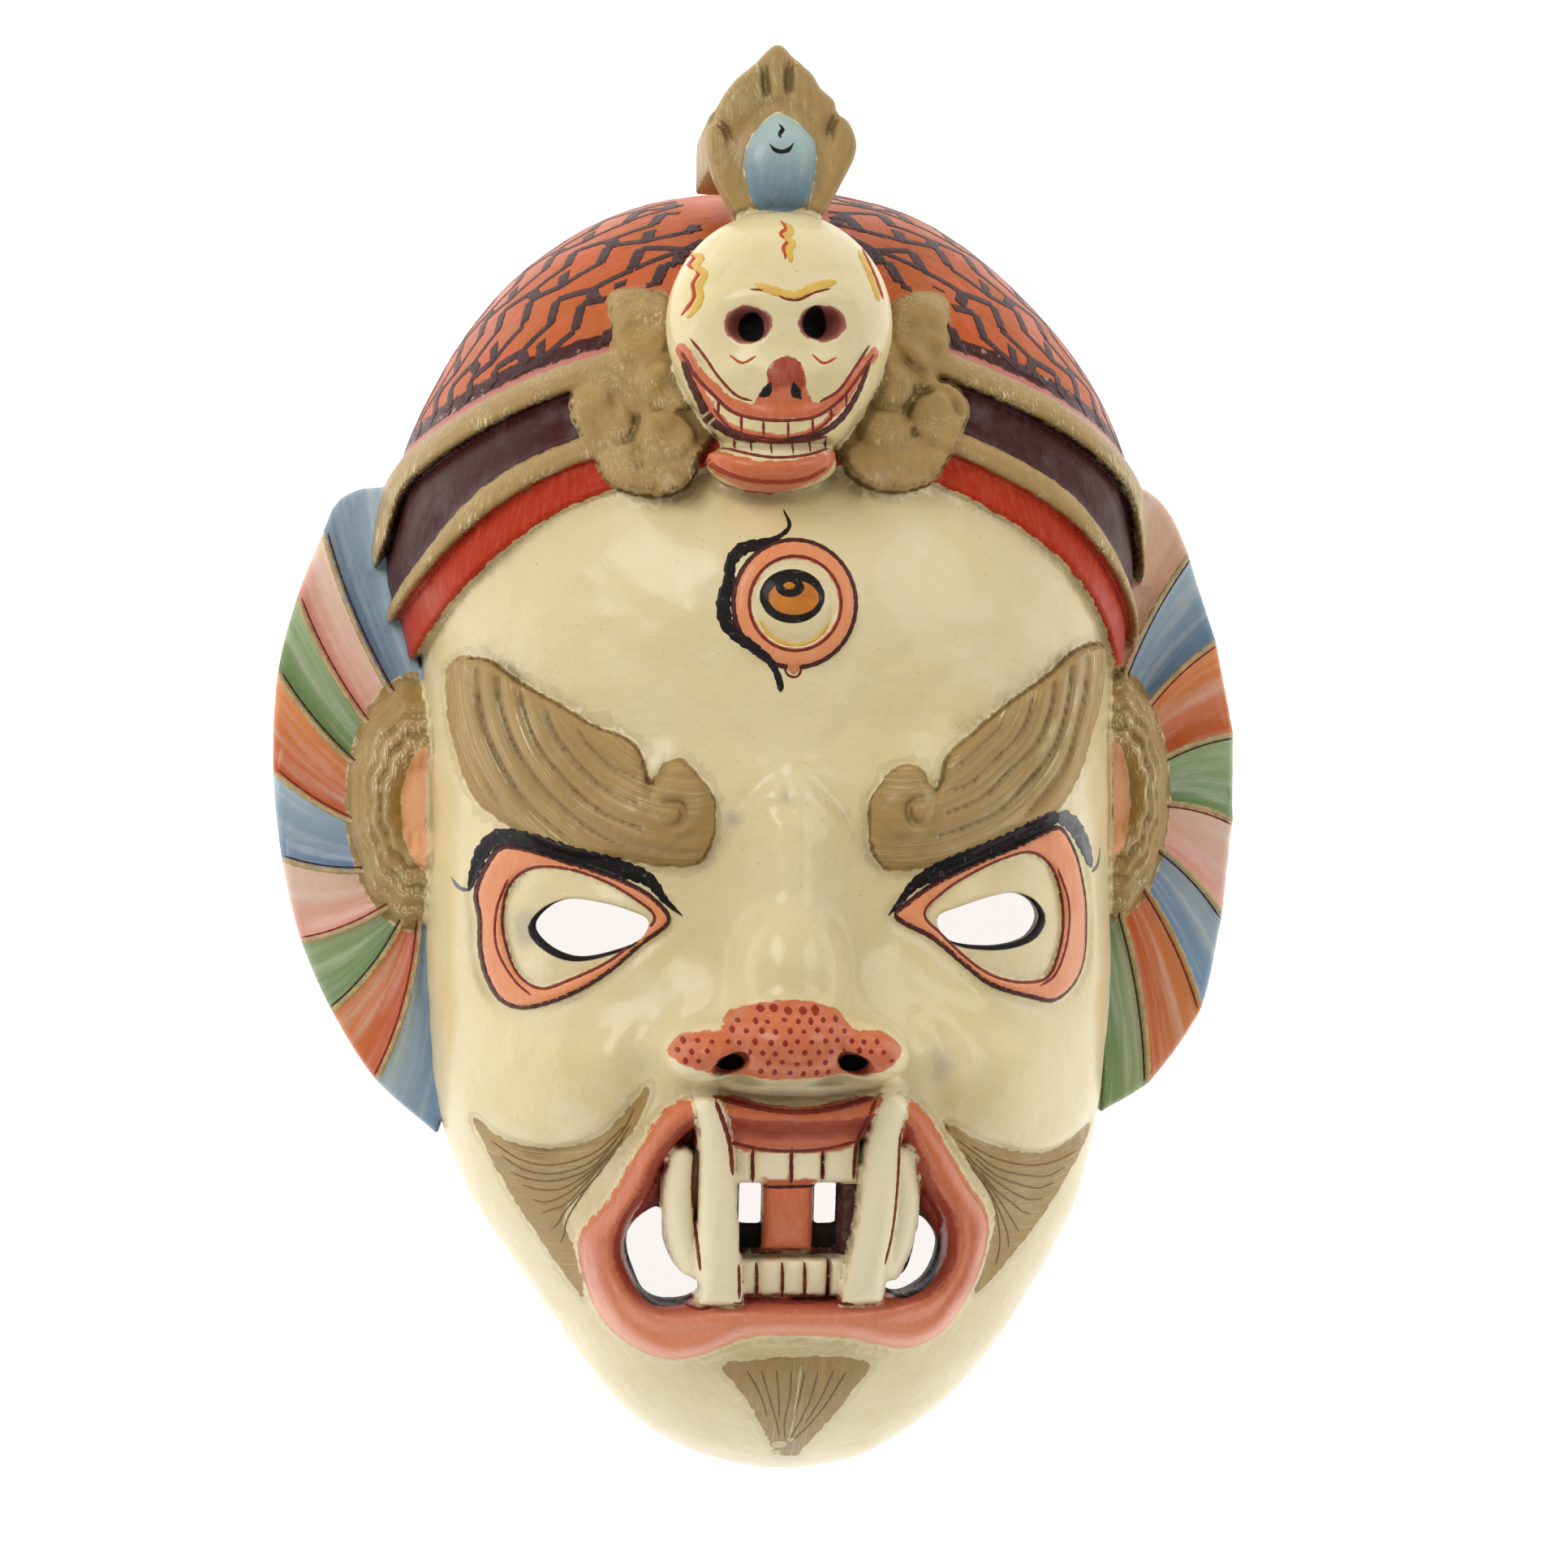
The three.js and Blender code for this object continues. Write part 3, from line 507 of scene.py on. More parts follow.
# creases of the brow knot, nose, cheeks and upper lip: path, width, and depth or rise
FOLDS = [
    ([(-19, -18), (-15, -9), (-8, -1), (-2, 4)], 2.8, -1.5),
    ([(23, -17), (19, -8), (12, -1), (6, 4)], 2.8, -1.5),
    ([(0.5, 6), (1, -4), (2, -12)], 2.4, -1.2),
    ([(-8, -14), (-4, -7), (1, -9), (6, -7), (11, -13)], 2.6, -0.9),
    ([(-21, 22), (-12, 12), (-3, 4)], 4, -1.0),
    ([(24, 22), (15, 12), (7, 4)], 4, -1.0),
    ([(-24, -48), (-20, -60), (-24, -70), (-34, -76)], 6, -1.3),
    ([(29, -47), (24, -60), (28, -70), (38, -76)], 6, -1.3),
    ([(-38, -72), (-45, -82), (-44, -94), (-42, -99)], 5, -3.0),
    ([(44, -73), (51, -83), (50, -94), (50, -104)], 5, -3.0),
    ([(-42, -96), (-56, -111), (-72, -116.5), (-92, -109)], 2.6, -2.4),
    ([(52, -107), (68, -114.5), (89, -119), (106, -113)], 2.6, -2.4),
    ([(-27, -91.5), (-10, -93.5), (3, -94), (18, -93.5), (34, -91.5)], 1.8, 3.0),
    ([(-30, -95), (-10, -97.5), (3, -98), (18, -97.5), (36, -95)], 1.4, -1.6),
    ([(-92, -45), (-86, -68), (-66, -78), (-40, -66), (-30, -52)], 6, -1.5),
    ([(104, -47), (98, -68), (78, -77), (52, -66), (36, -50)], 6, -1.5)]

face = face_relief()
helmet = helmet_relief()
relief = face * (1 - smoothstep(114.5, 116.5, BAND) * (Y2 > HELMET_FOOT)) + helmet
mouth_at = area(LIP_OUTER) > -3
relief = np.where(mouth_at, mouth_relief(relief), relief)
for cloud in CLOUDS:
    at = area(cloud["outline"])
    relief = np.where(at > 0, np.maximum(cloud_relief(cloud), relief), relief)

# ---- the head as a distance field ----------------------------------------------------------
stride = int(GRID / FINE)
x1, y1 = gx[::stride], gy[::stride]
z1 = np.arange(LOW[2], HIGH[2] + 0.01, GRID)
XC, YC = X2[::stride, ::stride], Y2[::stride, ::stride]

outline = spline(HEAD_OUTLINE, True, 1.0) - HEAD_CENTRE
bearing = np.arctan2(outline[:, 1], outline[:, 0])
order = np.argsort(bearing)
reach = np.interp(np.arctan2(YC - HEAD_CENTRE[1], XC - HEAD_CENTRE[0]), bearing[order],
                  np.hypot(*outline.T)[order], period=2 * math.pi)
rho = np.hypot(XC - HEAD_CENTRE[0], YC - HEAD_CENTRE[1]) / reach
depth = np.full(XC.shape, FACE_DEPTH)
for (sx, sy), (wx, wy), rise in SWELLS:
    depth += rise * np.exp(-((XC - sx) / wx) ** 2 - ((YC - sy) / wy) ** 2)


def head_field():
    """First-order distance to the plain head: negative in it."""
    n = FULLNESS
    rx, ry = np.gradient(rho, GRID)
    dx, dy = np.gradient(depth, GRID)
    flat = {
        "rho": np.maximum(rho, 1e-3), "rho_n": np.maximum(rho, 1e-3) ** n, "deep": 1 / depth,
        "A": rx ** 2 + ry ** 2, "B": 1 / depth ** 2, "C": (dx ** 2 + dy ** 2) / depth ** 2,
        "E": (rx * dx + ry * dy) / depth}
    flat = {k: v.astype(np.float32)[:, :, None] for k, v in flat.items()}
    zeta = np.maximum(z1, 0).astype(np.float32)[None, None, :] * flat["deep"]
    g = (flat["rho_n"] + zeta ** n) ** np.float32(1 / n)
    a = (flat["rho"] / g) ** np.float32(n - 1)
    b = (zeta / g) ** np.float32(n - 1)
    slope = a * a * flat["A"] + b * b * (flat["B"] + zeta * zeta * flat["C"])
    slope -= 2 * a * b * zeta * flat["E"]
    return (g - 1) / np.sqrt(np.maximum(slope, 1e-8))


head = head_field()
field = head - relief[::stride, ::stride].astype(np.float32)[:, :, None]


def local(low, high):
    """Slices and coordinates of the grid inside a box."""
    spans = [np.searchsorted(axis, [lo, hi]) for axis, lo, hi in zip((x1, y1, z1), low, high)]
    win = tuple(slice(*s) for s in spans)
    x = x1[win[0]][:, None, None].astype(np.float32)
    y = y1[win[1]][None, :, None].astype(np.float32)
    z = z1[win[2]][None, None, :].astype(np.float32)
    return win, x, y, z


def soft_min(a, b, k):
    h = np.clip(0.5 + 0.5 * (b - a) / k, 0, 1)
    return b * (1 - h) + a * h - k * h * (1 - h)


def soft_max(a, b, k):
    return -soft_min(-a, -b, k)


def ball(x, y, z, centre, radii, turn=0.0):
    """Near-distance to an ellipsoid, turned about the z axis."""
    dx, dy, dz = x - centre[0], y - centre[1], z - centre[2]
    if turn:
        c, s = math.cos(turn), math.sin(turn)
        dx, dy = c * dx + s * dy, c * dy - s * dx
    k0 = np.sqrt((dx / radii[0]) ** 2 + (dy / radii[1]) ** 2 + (dz / radii[2]) ** 2)
    k1 = np.sqrt((dx / radii[0] ** 2) ** 2 + (dy / radii[1] ** 2) ** 2 + (dz / radii[2] ** 2) ** 2)
    return k0 * (k0 - 1) / np.maximum(k1, 1e-6)


def on_grid(raster, win):
    """A front view raster, taken at the grid's places in a window."""
    return raster[::stride, ::stride][win[:2]].astype(np.float32)[:, :, None]


def join(low, high, build, blend):
    """Joins a local piece, given as a function of x, y, z and its window, to the field."""
    win, x, y, z = local(low, high)
    piece = build(x, y, z, win)
    field[win] = soft_min(field[win], piece, blend)
    return win, piece


def nose(x, y, z, win):
    whole = ball(x, y, z, (1, -79, 162), (20.5, 13, 22))
    for cx, turn in ((-22.5, 0.25), (24, -0.25)):
        whole = soft_min(whole, ball(x, y, z, (cx, -82, 157), (14.5, 9, 20), turn), 4)
    whole = soft_min(whole, ball(x, y, z, (2, -60, 149), (17, 26, 21)), 8)
    for cx, turn in ((-17.5, 0.5), (20.5, -0.5)):
        whole = soft_max(whole, -ball(x, y, z, (cx, -85.5, 172), (6.2, 3.2, 12), turn), 1.5)
    return whole


def skull_relief():
    inside_jaw = area(SKULL_JAW)
    rise = 1.8 * pillow(inside_jaw, 3)
    grin, _ = track(SKULL_GRIN)
    lip, _ = track(SKULL_LIP)
    rise += 1.0 * bump(grin, 1.8) + 0.8 * bump(lip, 1.5)
    rise += 3.2 * bump(np.hypot((X2 + 1.2) / 7.5, (Y2 - 123) / 6.5), 1)
    rise += 1.6 * bump(np.hypot((X2 + 13.5) / 7, (Y2 - 127.5) / 4.5), 1)
    rise += 1.6 * bump(np.hypot((X2 - 10.5) / 7, (Y2 - 127.5) / 4.5), 1)
    brow, _ = track([(-20, 148), (-11.4, 150.3), (2, 147.4), (14, 151), (20, 149)])
    rise += 1.3 * bump(brow, 4)
    mouth, _ = track([(-20, 105.2), (-9, 104.6), (2, 104.4), (13, 105.4)])
    return rise - 1.2 * bump(mouth, 1.1)


def skull(x, y, z, win):
    sx, sy, sz = SKULL
    whole = ball(x, y, z, SKULL, (SKULL_RADIUS,) * 3)
    whole = soft_min(whole, ball(x, y, z, (sx, sy - 18, sz + 6), (28, 21, 27)), 5)
    whole = soft_min(whole, ball(x, y, z, (sx, sy - 31, sz + 8), (20.5, 12, 23)), 4)
    whole = soft_min(whole, ball(x, y, z, (sx - 3, sy - 44, sz + 10), (20, 8.5, 18.5)), 3)
    front = smoothstep(sz + 5, sz + 18, z)
    whole = whole - on_grid(skull_relief(), win) * front
    for (cx, cy), (rx, ry) in SKULL_SOCKETS:
        whole = soft_max(whole, -ball(x, y, z, (cx, cy, sz + 34), (rx, ry, 12)), 1.5)
    return whole


LEAF_GROOVES = [  # path, width and depth
    ([(-5, 226), (-4.6, 219), (-3.8, 212)], 1.4, 3.2),
    ([(3.6, 227), (2.6, 220), (3, 213)], 1.4, 3.2),
    ([(-20, 207), (-16.5, 203), (-15.5, 198)], 1.6, 3.4),
    ([(18.6, 210), (16, 205), (15.4, 200)], 1.6, 3.4),
    ([(-13, 184), (-15, 192), (-13.5, 200), (-8, 208), (-1, 211), (6, 208.5), (12.5, 201),
      (14, 192), (12, 184)], 2.0, 1.4)]


def finial_leaf(x, y, z, win):
    inside = area(LEAF_OUTLINE)
    front = LEAF["to"] - 4 + 4 * pillow(inside, 5)
    for groove in LEAF_GROOVES:
        front -= fold(*groove)
    sides = -on_grid(inside, win)
    slab = np.maximum(z - on_grid(front, win), LEAF["from"] - z)
    return soft_max(sides, slab, 2)


def jewel(x, y, z, win):
    inside = area(JEWEL_OUTLINE)
    front = LEAF["to"] - 2 + 7.0 * pillow(inside + 0.5, 9) - 2.4 * smoothstep(196, 210, Y2)
    return np.maximum(z - on_grid(front, win), np.maximum(-on_grid(inside, win), 120 - z))


def crest_block(x, y, z, win):
    (xl, xr), (yl, yh), (zl, zh) = CREST_BLOCK["x"], CREST_BLOCK["y"], CREST_BLOCK["z"]
    above = y > CREST_BLOCK["neck"]
    neck_left, neck_right = CREST_BLOCK["neck_x"]
    xl, xr = np.where(above, xl, neck_left), np.where(above, xr, neck_right)
    r = CREST_BLOCK["round"]
    top, back = y - (yh - r), (zl + r) - z
    corner = np.hypot(np.maximum(top, 0), np.maximum(back, 0)) - r
    side = np.maximum(np.maximum(y - yh, zl - z), np.where((top > 0) & (back > 0), corner, -99))
    across = np.maximum(xl - x, x - xr)
    return soft_max(soft_max(side, across, 3), np.maximum(z - zh, yl - y), 2)


def ear(centre, radii):
    def build(x, y, z, win):
        dx, dy = (x - centre[0]) / radii[0], (y - centre[1]) / radii[1]
        scallop = 0.02 * np.cos(12 * np.arctan2(dy, dx))
        r = np.hypot(dx, dy) + scallop + 0.012 * on_grid(clump(12, 31), win)
        top = np.interp(r, *zip(*EAR_PROFILE)).astype(np.float32)
        return np.maximum((z - top) * 0.6, np.maximum((r - 1) * min(radii), 6 - z))
    return build


def pleat_line(line, share):
    """Places a share of the way from the roots to the ends; the pleats bow a little."""
    step = line["ends"] - line["roots"]
    side = np.column_stack([-step[:, 1], step[:, 0]]) / np.linalg.norm(step, axis=1, keepdims=True)
    return line["roots"] + step * share + side * (FAN_BOW * 4 * share * (1 - share))


def fan_map(fan):
    """Pleat number along the fan and share from root to edge, over the raster, with the
    signed distance to its outline."""
    count = len(fan["roots"]) - 1
    steps = 140 * count
    line = {}
    for name in ("roots", "ends"):
        knots = np.arange(count + 1)
        fine = np.linspace(0, count, steps)
        p = np.asarray(fan[name], float)
        bends = p if name == "roots" else np.vstack([p[:1], fan["corner"], p[1:]])
        curve = spline(bends, False, 0.05)
        share = np.concatenate([[0], np.cumsum(np.hypot(*np.diff(curve, axis=0).T))])
        places = [share[np.argmin(np.hypot(*(curve - q).T))] for q in p]
        at = np.interp(fine, knots, places)
        line[name] = np.column_stack([np.interp(at, share, curve[:, k]) for k in (0, 1)])
    sides = np.array([pleat_line(line, s)[[0, -1]] for s in np.linspace(0, 1, 14)])
    ring = np.vstack([line["ends"][::20], sides[::-1, 1], line["roots"][::-20], sides[:, 0]])
    inside = area(ring, smooth=False)
    pleat = np.full(X2.shape, -1.0)
    share = np.zeros(X2.shape)
    for s in np.linspace(-0.06, 1.06, 190):
        p = pleat_line(line, s)
        i = np.clip(np.rint((p[:, 0] - gx[0]) / FINE).astype(int), 0, len(gx) - 1)
        j = np.clip(np.rint((p[:, 1] - gy[0]) / FINE).astype(int), 0, len(gy) - 1)
        pleat[i, j] = np.linspace(0, count, steps)
        share[i, j] = s
    for _ in range(4):  # fills the few cells that no sample fell in
        for axis, step in ((0, 1), (0, -1), (1, 1), (1, -1)):
            near = np.roll(pleat, step, axis)
            empty = (pleat < 0) & (near >= 0)
            pleat[empty] = near[empty]
            share[empty] = np.roll(share, step, axis)[empty]
    pleat = np.clip(pleat, 0, count - 1e-3)
    off = np.abs(2 * (pleat % 1) - 1)
    top = FAN_RISE[0] + (FAN_RISE[1] - FAN_RISE[0]) * share - FAN_RISE[2] * (1 - off ** 2.6)
    top = top - 2.5 * (1 - pillow(inside, 3))
    return {"inside": inside, "pleat": pleat, "share": share, "top": top, "line": line}


def fan_body(shape):
    def build(x, y, z, win):
        side = -on_grid(shape["inside"], win)
        return soft_max(side, np.maximum((z - on_grid(shape["top"], win)) * 0.9, FAN_BACK - z), 1.2)
    return build


EAR_REACH = (32, 52)  # half the size of the part of the grid that an ear may fill
for centre, radii in EARS:
    low, high = np.subtract(centre, EAR_REACH), np.add(centre, EAR_REACH)
    join((*low, 2), (*high, 52), ear(centre, radii), 1.5)
fan_shapes = [fan_map(fan) for fan in FANS]
for shape in fan_shapes:
    ends = np.vstack([shape["line"]["roots"], shape["line"]["ends"]])
    low, high = ends.min(0) - 4, ends.max(0) + 4
    join((*low, -1), (*high, 32), fan_body(shape), 1.0)
join((-48, -106, 120), (50, -22, 190), nose, 5)
join((-27, 98, 56), (21, 214, 132), crest_block, 3)
skull_window, skull_piece = join((-44, 84, 90), (38, 182, 180), skull, 3)
skull_solid = np.full(field.shape, 9.0, np.float32)
skull_solid[skull_window] = skull_piece
join((-28, 168, 116), (30, 236, 150), finial_leaf, 2)
join((-18, 170, 116), (18, 214, 156), jewel, 1)


def through(outline, smooth=True, low=40.0, soft=1.2, flare=0.0):
    """Cuts an outline through the wall along z."""
    inside = area(outline, smooth)
    i, j = np.nonzero((inside > -6)[::stride, ::stride])
    up = slice(np.searchsorted(z1, low), None)
    win = (slice(i.min(), i.max() + 1), slice(j.min(), j.max() + 1), up)
    hole = -on_grid(inside, win) - flare * np.clip(-head[win] - 4, 0, 20) * 0.15
    field[win] = soft_max(field[win], -hole, soft)


for hole in EYE_HOLES:
    through(hole, flare=1.0)
for gap in SIDE_GAPS:
    through(gap, low=60)
for left, right, high, low in TONGUE_GAPS:
    through([(left, low), (right, low), (right, high), (left, high)], smooth=False, low=60, soft=1.0)

field = np.maximum(field, -(head + WALL))
field = soft_max(field, -z1[None, None, :].astype(np.float32), 1.5)
np.clip(field, -5, 5, out=field)

# ---- mesh ----------------------------------------------------------------------------------
TRIANGLES = 192_000
PLAIN_DEPTH = 7  # wood deeper than this below the face is plain, and takes bigger triangles
MERGE_WEIGHT = 4e-6
NORMAL_STEP = 0.7


def polygonise():
    grid = openvdb.FloatGrid(5.0)
    grid.copyFromArray(np.ascontiguousarray(field, np.float32), tolerance=0.0)
    points, quads = grid.convertToQuads(isovalue=0.0)
    return points * GRID + LOW, quads


def new_mesh(name, points, faces):
    """A mesh of equal-sided faces from arrays; points in millimetres of the mask's own axes."""
    mesh = bpy.data.meshes.new(name)
    faces = np.ascontiguousarray(faces, np.int32)
    mesh.vertices.add(len(points))
    mesh.vertices.foreach_set("co", ((points - SHIFT) * MM).astype(np.float32).ravel())
    mesh.loops.add(faces.size)
    mesh.loops.foreach_set("vertex_index", faces.ravel())
    mesh.polygons.add(len(faces))
    mesh.polygons.foreach_set("loop_start", np.arange(0, faces.size, faces.shape[1], dtype=np.int32))
    mesh.update(calc_edges=True)
    mesh.validate()
    obj = bpy.data.objects.new(name, mesh)
    bpy.context.scene.collection.objects.link(obj)
    return obj


def coords(obj):
    data = np.empty(len(obj.data.vertices) * 3, np.float32)
    obj.data.vertices.foreach_get("co", data)
    return data.reshape(-1, 3) / MM + SHIFT


def sample3(volume, p):
    """Trilinear value of a volume at points."""
    at = (p - LOW) / GRID
    low = np.clip(np.floor(at).astype(int), 0, np.array(volume.shape) - 2)
    f = np.clip(at - low, 0, 1)
    total = 0.0
    for k in range(8):
        step = np.array([k & 1, k >> 1 & 1, k >> 2 & 1])
        weight = np.prod(np.where(step, f, 1 - f), axis=1)
        i = low + step
        total = total + weight * volume[i[:, 0], i[:, 1], i[:, 2]]
    return total


def sample2(raster, p):
    at = (p[:, :2] - (gx[0], gy[0])) / FINE
    low = np.clip(np.floor(at).astype(int), 0, np.array(raster.shape) - 2)
    f = np.clip(at - low, 0, 1)
    (i, j), (u, v) = low.T, f.T
    return ((raster[i, j] * (1 - u) + raster[i + 1, j] * u) * (1 - v)
            + (raster[i, j + 1] * (1 - u) + raster[i + 1, j + 1] * u) * v)


points, quads = polygonise()
a, b, c, d = (points[quads[:, k]] for k in range(4))
if np.einsum("ij,ij->i", np.cross(b - a, c - a) + np.cross(c - a, d - a), a).sum() < 0:
    quads = quads[:, ::-1]
mask = new_mesh("carved_mask", points, quads)
buried = np.clip(-(sample3(head, points) + PLAIN_DEPTH) / 2, 0, 1)
group = mask.vertex_groups.new(name="plain")
for level in range(5):
    members = np.nonzero(np.rint(buried * 4) == level)[0]
    group.add(members.tolist(), max(level / 4, 0.05), "REPLACE")
shrink = mask.modifiers.new("shrink", "DECIMATE")
shrink.ratio = TRIANGLES / (2 * len(quads))
shrink.use_collapse_triangulate = True
shrink.vertex_group = "plain"
shrink.vertex_group_factor = MERGE_WEIGHT
bpy.context.view_layer.objects.active = mask
mask.select_set(True)
bpy.ops.object.modifier_apply(modifier="shrink")
mask.vertex_groups.clear()
mask.data.shade_smooth()

P = coords(mask)
slope = np.column_stack([
    sample3(field, P + step) - sample3(field, P - step) for step in np.eye(3) * NORMAL_STEP])
NORMAL = slope / np.maximum(np.linalg.norm(slope, axis=1, keepdims=True), 1e-6)
mask.data.normals_split_custom_set_from_vertices(NORMAL.tolist())
print("mask", len(quads), "quads ->", len(mask.data.polygons), "triangles")

# ---- paint areas ---------------------------------------------------------------------------
OVERLAP = 0.9  # a colour reaches this far past its outline, so that no bare rim shows


def union(*distances):
    return np.maximum.reduce(distances)


def disc(centre, radii):
    """Signed distance to an ellipse, positive inside."""
    r = np.hypot((X2 - centre[0]) / radii[0], (Y2 - centre[1]) / radii[1])
    return (1 - r) * min(radii)


rings = [np.minimum(area(ring), -area(white)) for ring, white in zip(EYE_RINGS, EYE_WHITES)]
third_r = np.hypot((X2 - THIRD_EYE[0]) / THIRD_RING[0], (Y2 - THIRD_EYE[1]) / THIRD_RING[1]) * 19
fangs = union(*[fang_area(*fang) for fang in INNER_FANGS + OUTER_FANGS])
lips = np.minimum(np.minimum(area(LIP_OUTER), -area(LIP_INNER) + 1.0), -fangs)
gum = area(GUM)
tongue = box_area(TONGUE["x"], TONGUE["y"])
teeth = union(box_area((UPPER_TEETH["x"][0], UPPER_TEETH["x"][-1]), UPPER_TEETH["y"]),
              box_area((LOWER_TEETH["x"][0], LOWER_TEETH["x"][-1]), LOWER_TEETH["y"]))
floor_dark = np.minimum(np.minimum(area(LIP_INNER), -union(fangs, gum, teeth, tongue)), 4)
nose_paint = area(NOSE_OUTLINE)
skull_at = disc((SKULL[0], SKULL[1]), (SKULL_RADIUS + 1, SKULL_RADIUS + 1))
jaw = area(SKULL_JAW)
grin, _ = track(SKULL_GRIN)
lip, _ = track(SKULL_LIP)
snout = area([(-10.5, 114.5), (-7, 121), (-5, 124), (3, 124), (5.5, 121), (8.5, 114.5), (-1, 112)])
snout_top = area([(-6.5, 122.5), (-5.4, 128), (-2, 130.4), (2, 130), (4.6, 127), (5.2, 122),
                  (-0.5, 121.6)])
skull_red = union(jaw, 1.7 - grin, snout, snout_top, 1.1 - lip)
sockets = union(*[disc(c, (r[0] + 0.6, r[1] + 0.6)) for c, r in SKULL_SOCKETS])
clouds = union(*[area(cloud["outline"]) + 1.0 for cloud in CLOUDS])
leaf = area(LEAF_OUTLINE)
block = union(box_area(CREST_BLOCK["x"], (CREST_BLOCK["neck"], CREST_BLOCK["y"][1]), 1.5),
              box_area(CREST_BLOCK["neck_x"], (150, 195), 1.5))
jewel_at = area(JEWEL_OUTLINE)
hair = union(*[area(o) + 0.9 for o in BROWS], *[disc(c, (r + 1.5, r + 1.5)) for c, r in BROW_CURLS])
beard = union(*[area(o) for o in MOUSTACHE], area(GOATEE))
on_crest = union(clouds, skull_at, jaw, leaf, block)
LOWER_TEETH_OF_SKULL = [
    (-15.8, 107.2), (-15.2, 102.6), (-10.8, 101.2), (-4.6, 100.3), (2.1, 100.6), (7.5, 101.4),
    (13.4, 103.2), (13, 106.8), (7.5, 105.2), (1.6, 104.8), (-5, 104.6), (-10.9, 105.8)]
skull_teeth = area(LOWER_TEETH_OF_SKULL, smooth=False)

hole_edges = union(
    np.minimum(area([(x - 1.9, y - 1.0) for x, y in EYE_HOLES[0]]) + 0.7, 4),
    np.minimum(area([(x + 1.9, y - 0.9) for x, y in EYE_HOLES[1]]) + 0.7, 4))
# painted shadow: black along the lower edge of each side gap in the mouth
gap_shadows = union(
    area([(x - 0.6, y - 0.9) for x, y in SIDE_GAPS[0]]) + 0.3,
    area([(x + 0.6, y - 0.9) for x, y in SIDE_GAPS[1]]) + 0.3)
gap_shadows = np.minimum(gap_shadows, -fangs - 0.3)
tongue_gaps = union(*[box_area((l - 0.6, r + 0.6), (h, b - 8)) for l, r, h, b in TONGUE_GAPS])
tongue_gaps = np.minimum(tongue_gaps, -tongue)
nostrils = union(disc((-17.5, -85), (4.6, 2.6)), disc((20.3, -85.5), (4.8, 2.6)))
pits = union(disc((-10.6, 139.8), (3.9, 4.8)), disc((8.8, 141.3), (3.9, 4.9)))
iris = disc((2.6, 57.9), (10, 8.2))
iris_orange = disc((3.2, 57.6), (8.0, 5.8))
pupil = disc((1.8, 61.0), (4.4, 3.7))
pupil_dot = disc((1.8, 61.2), (1.9, 1.6))

x, y, z = P.T
bare = -(sample3(head, P) + 8.4)
back = np.minimum((-NORMAL[:, 2] - 0.4) * 6, 9 - z)
AREA = {}
AREA["wood"] = np.maximum(bare, back)
AREA["band"] = sample2(BAND, P)
on_skull = 1.6 - sample3(skull_solid, P)
crest_at = np.maximum(np.minimum(sample2(leaf, P) + 2.5, z - LEAF["from"] + 3),
                      np.minimum(sample2(block, P) + 1, sample3(head, P) - 8.0))
AREA["helmet"] = np.minimum(y - HELMET_FOOT, -np.maximum(crest_at, on_skull))


def at_vertices(raster):
    return sample2(raster, P)


fan_at = []
for shape in fan_shapes:
    fan_at.append(np.minimum(at_vertices(shape["inside"]) + 1.5,
                             at_vertices(np.maximum(shape["top"], 0)) + 2.2 - z))
off_head = np.minimum(52 - z, sample3(head, P) - 1.2)
ear_at = [np.minimum(at_vertices(disc(c, (r[0] + 1, r[1] + 1))), off_head) for c, r in EARS]
concha = [
    np.minimum(at_vertices(disc((c[0] + side * 4, c[1] - 2), (0.42 * r[0], 0.5 * r[1]))), off_head)
    for (c, r), side in zip(EARS, (1, -1))]
on_face = np.minimum(z - 52, 40)

jewel_paint = np.minimum(at_vertices(jewel_at), z - LEAF["from"])
AREA["gold"] = np.maximum.reduce([
    at_vertices(clouds), np.minimum(crest_at, -jewel_paint),
    np.minimum(at_vertices(union(hair, beard)), on_face),
    *[np.minimum(e, -c) for e, c in zip(ear_at, concha)]])
AREA["gold"] = np.minimum(AREA["gold"], -on_skull)
# black paint, with the painted shadows under the mouth's side gaps
AREA["black"] = np.maximum.reduce([
    np.minimum(at_vertices(union(hole_edges, gap_shadows, tongue_gaps)), on_face),
    at_vertices(union(nostrils, pits)),
    at_vertices(np.minimum(iris, -iris_orange)),
    at_vertices(np.minimum(pupil, -pupil_dot))])

layers = [
    ("dark_line", at_vertices(floor_dark)),
    ("tooth", at_vertices(np.minimum(union(fangs, teeth), 2)) - 0.7),
    ("salmon", at_vertices(lips)), ("salmon", at_vertices(np.minimum(gum, -fangs))),
    ("salmon", at_vertices(tongue)),
    ("lip_edge", at_vertices(np.minimum(lips, 3.0 - np.abs(area(LIP_INNER))))),
    ("salmon", np.minimum(at_vertices(nose_paint), z - 154)), ("eye_ring", at_vertices(union(*rings))),
    ("eye_ring", at_vertices(np.minimum(third_r - 13.2, 19.2 - third_r))),
    ("orange", at_vertices(iris_orange)),
    ("salmon", np.minimum(at_vertices(skull_red), on_skull + 1)),
    ("lip_edge", np.minimum(at_vertices(snout_top), on_skull + 1)),
    ("socket", np.minimum(at_vertices(sockets), on_skull + 1)),
    ("cream", at_vertices(skull_teeth)),
    ("jewel_low", jewel_paint), ("concha", concha[0]), ("concha", concha[1])]
tint = np.tile(linear("cream"), (len(P), 1))
reach_tint = np.full(len(P), -12.0)
for name, inside in layers:
    tint = np.where((inside > -OVERLAP)[:, None], linear(name), tint)
    reach_tint = np.maximum(reach_tint, inside)

# painted highlight: the lower lip is paler towards its bottom
lower_lip_highlight = smoothstep(-158, -170, y) * (at_vertices(lips) > -OVERLAP) * 0.7
tint = tint + (linear("lip_highlight") - tint) * lower_lip_highlight[:, None]

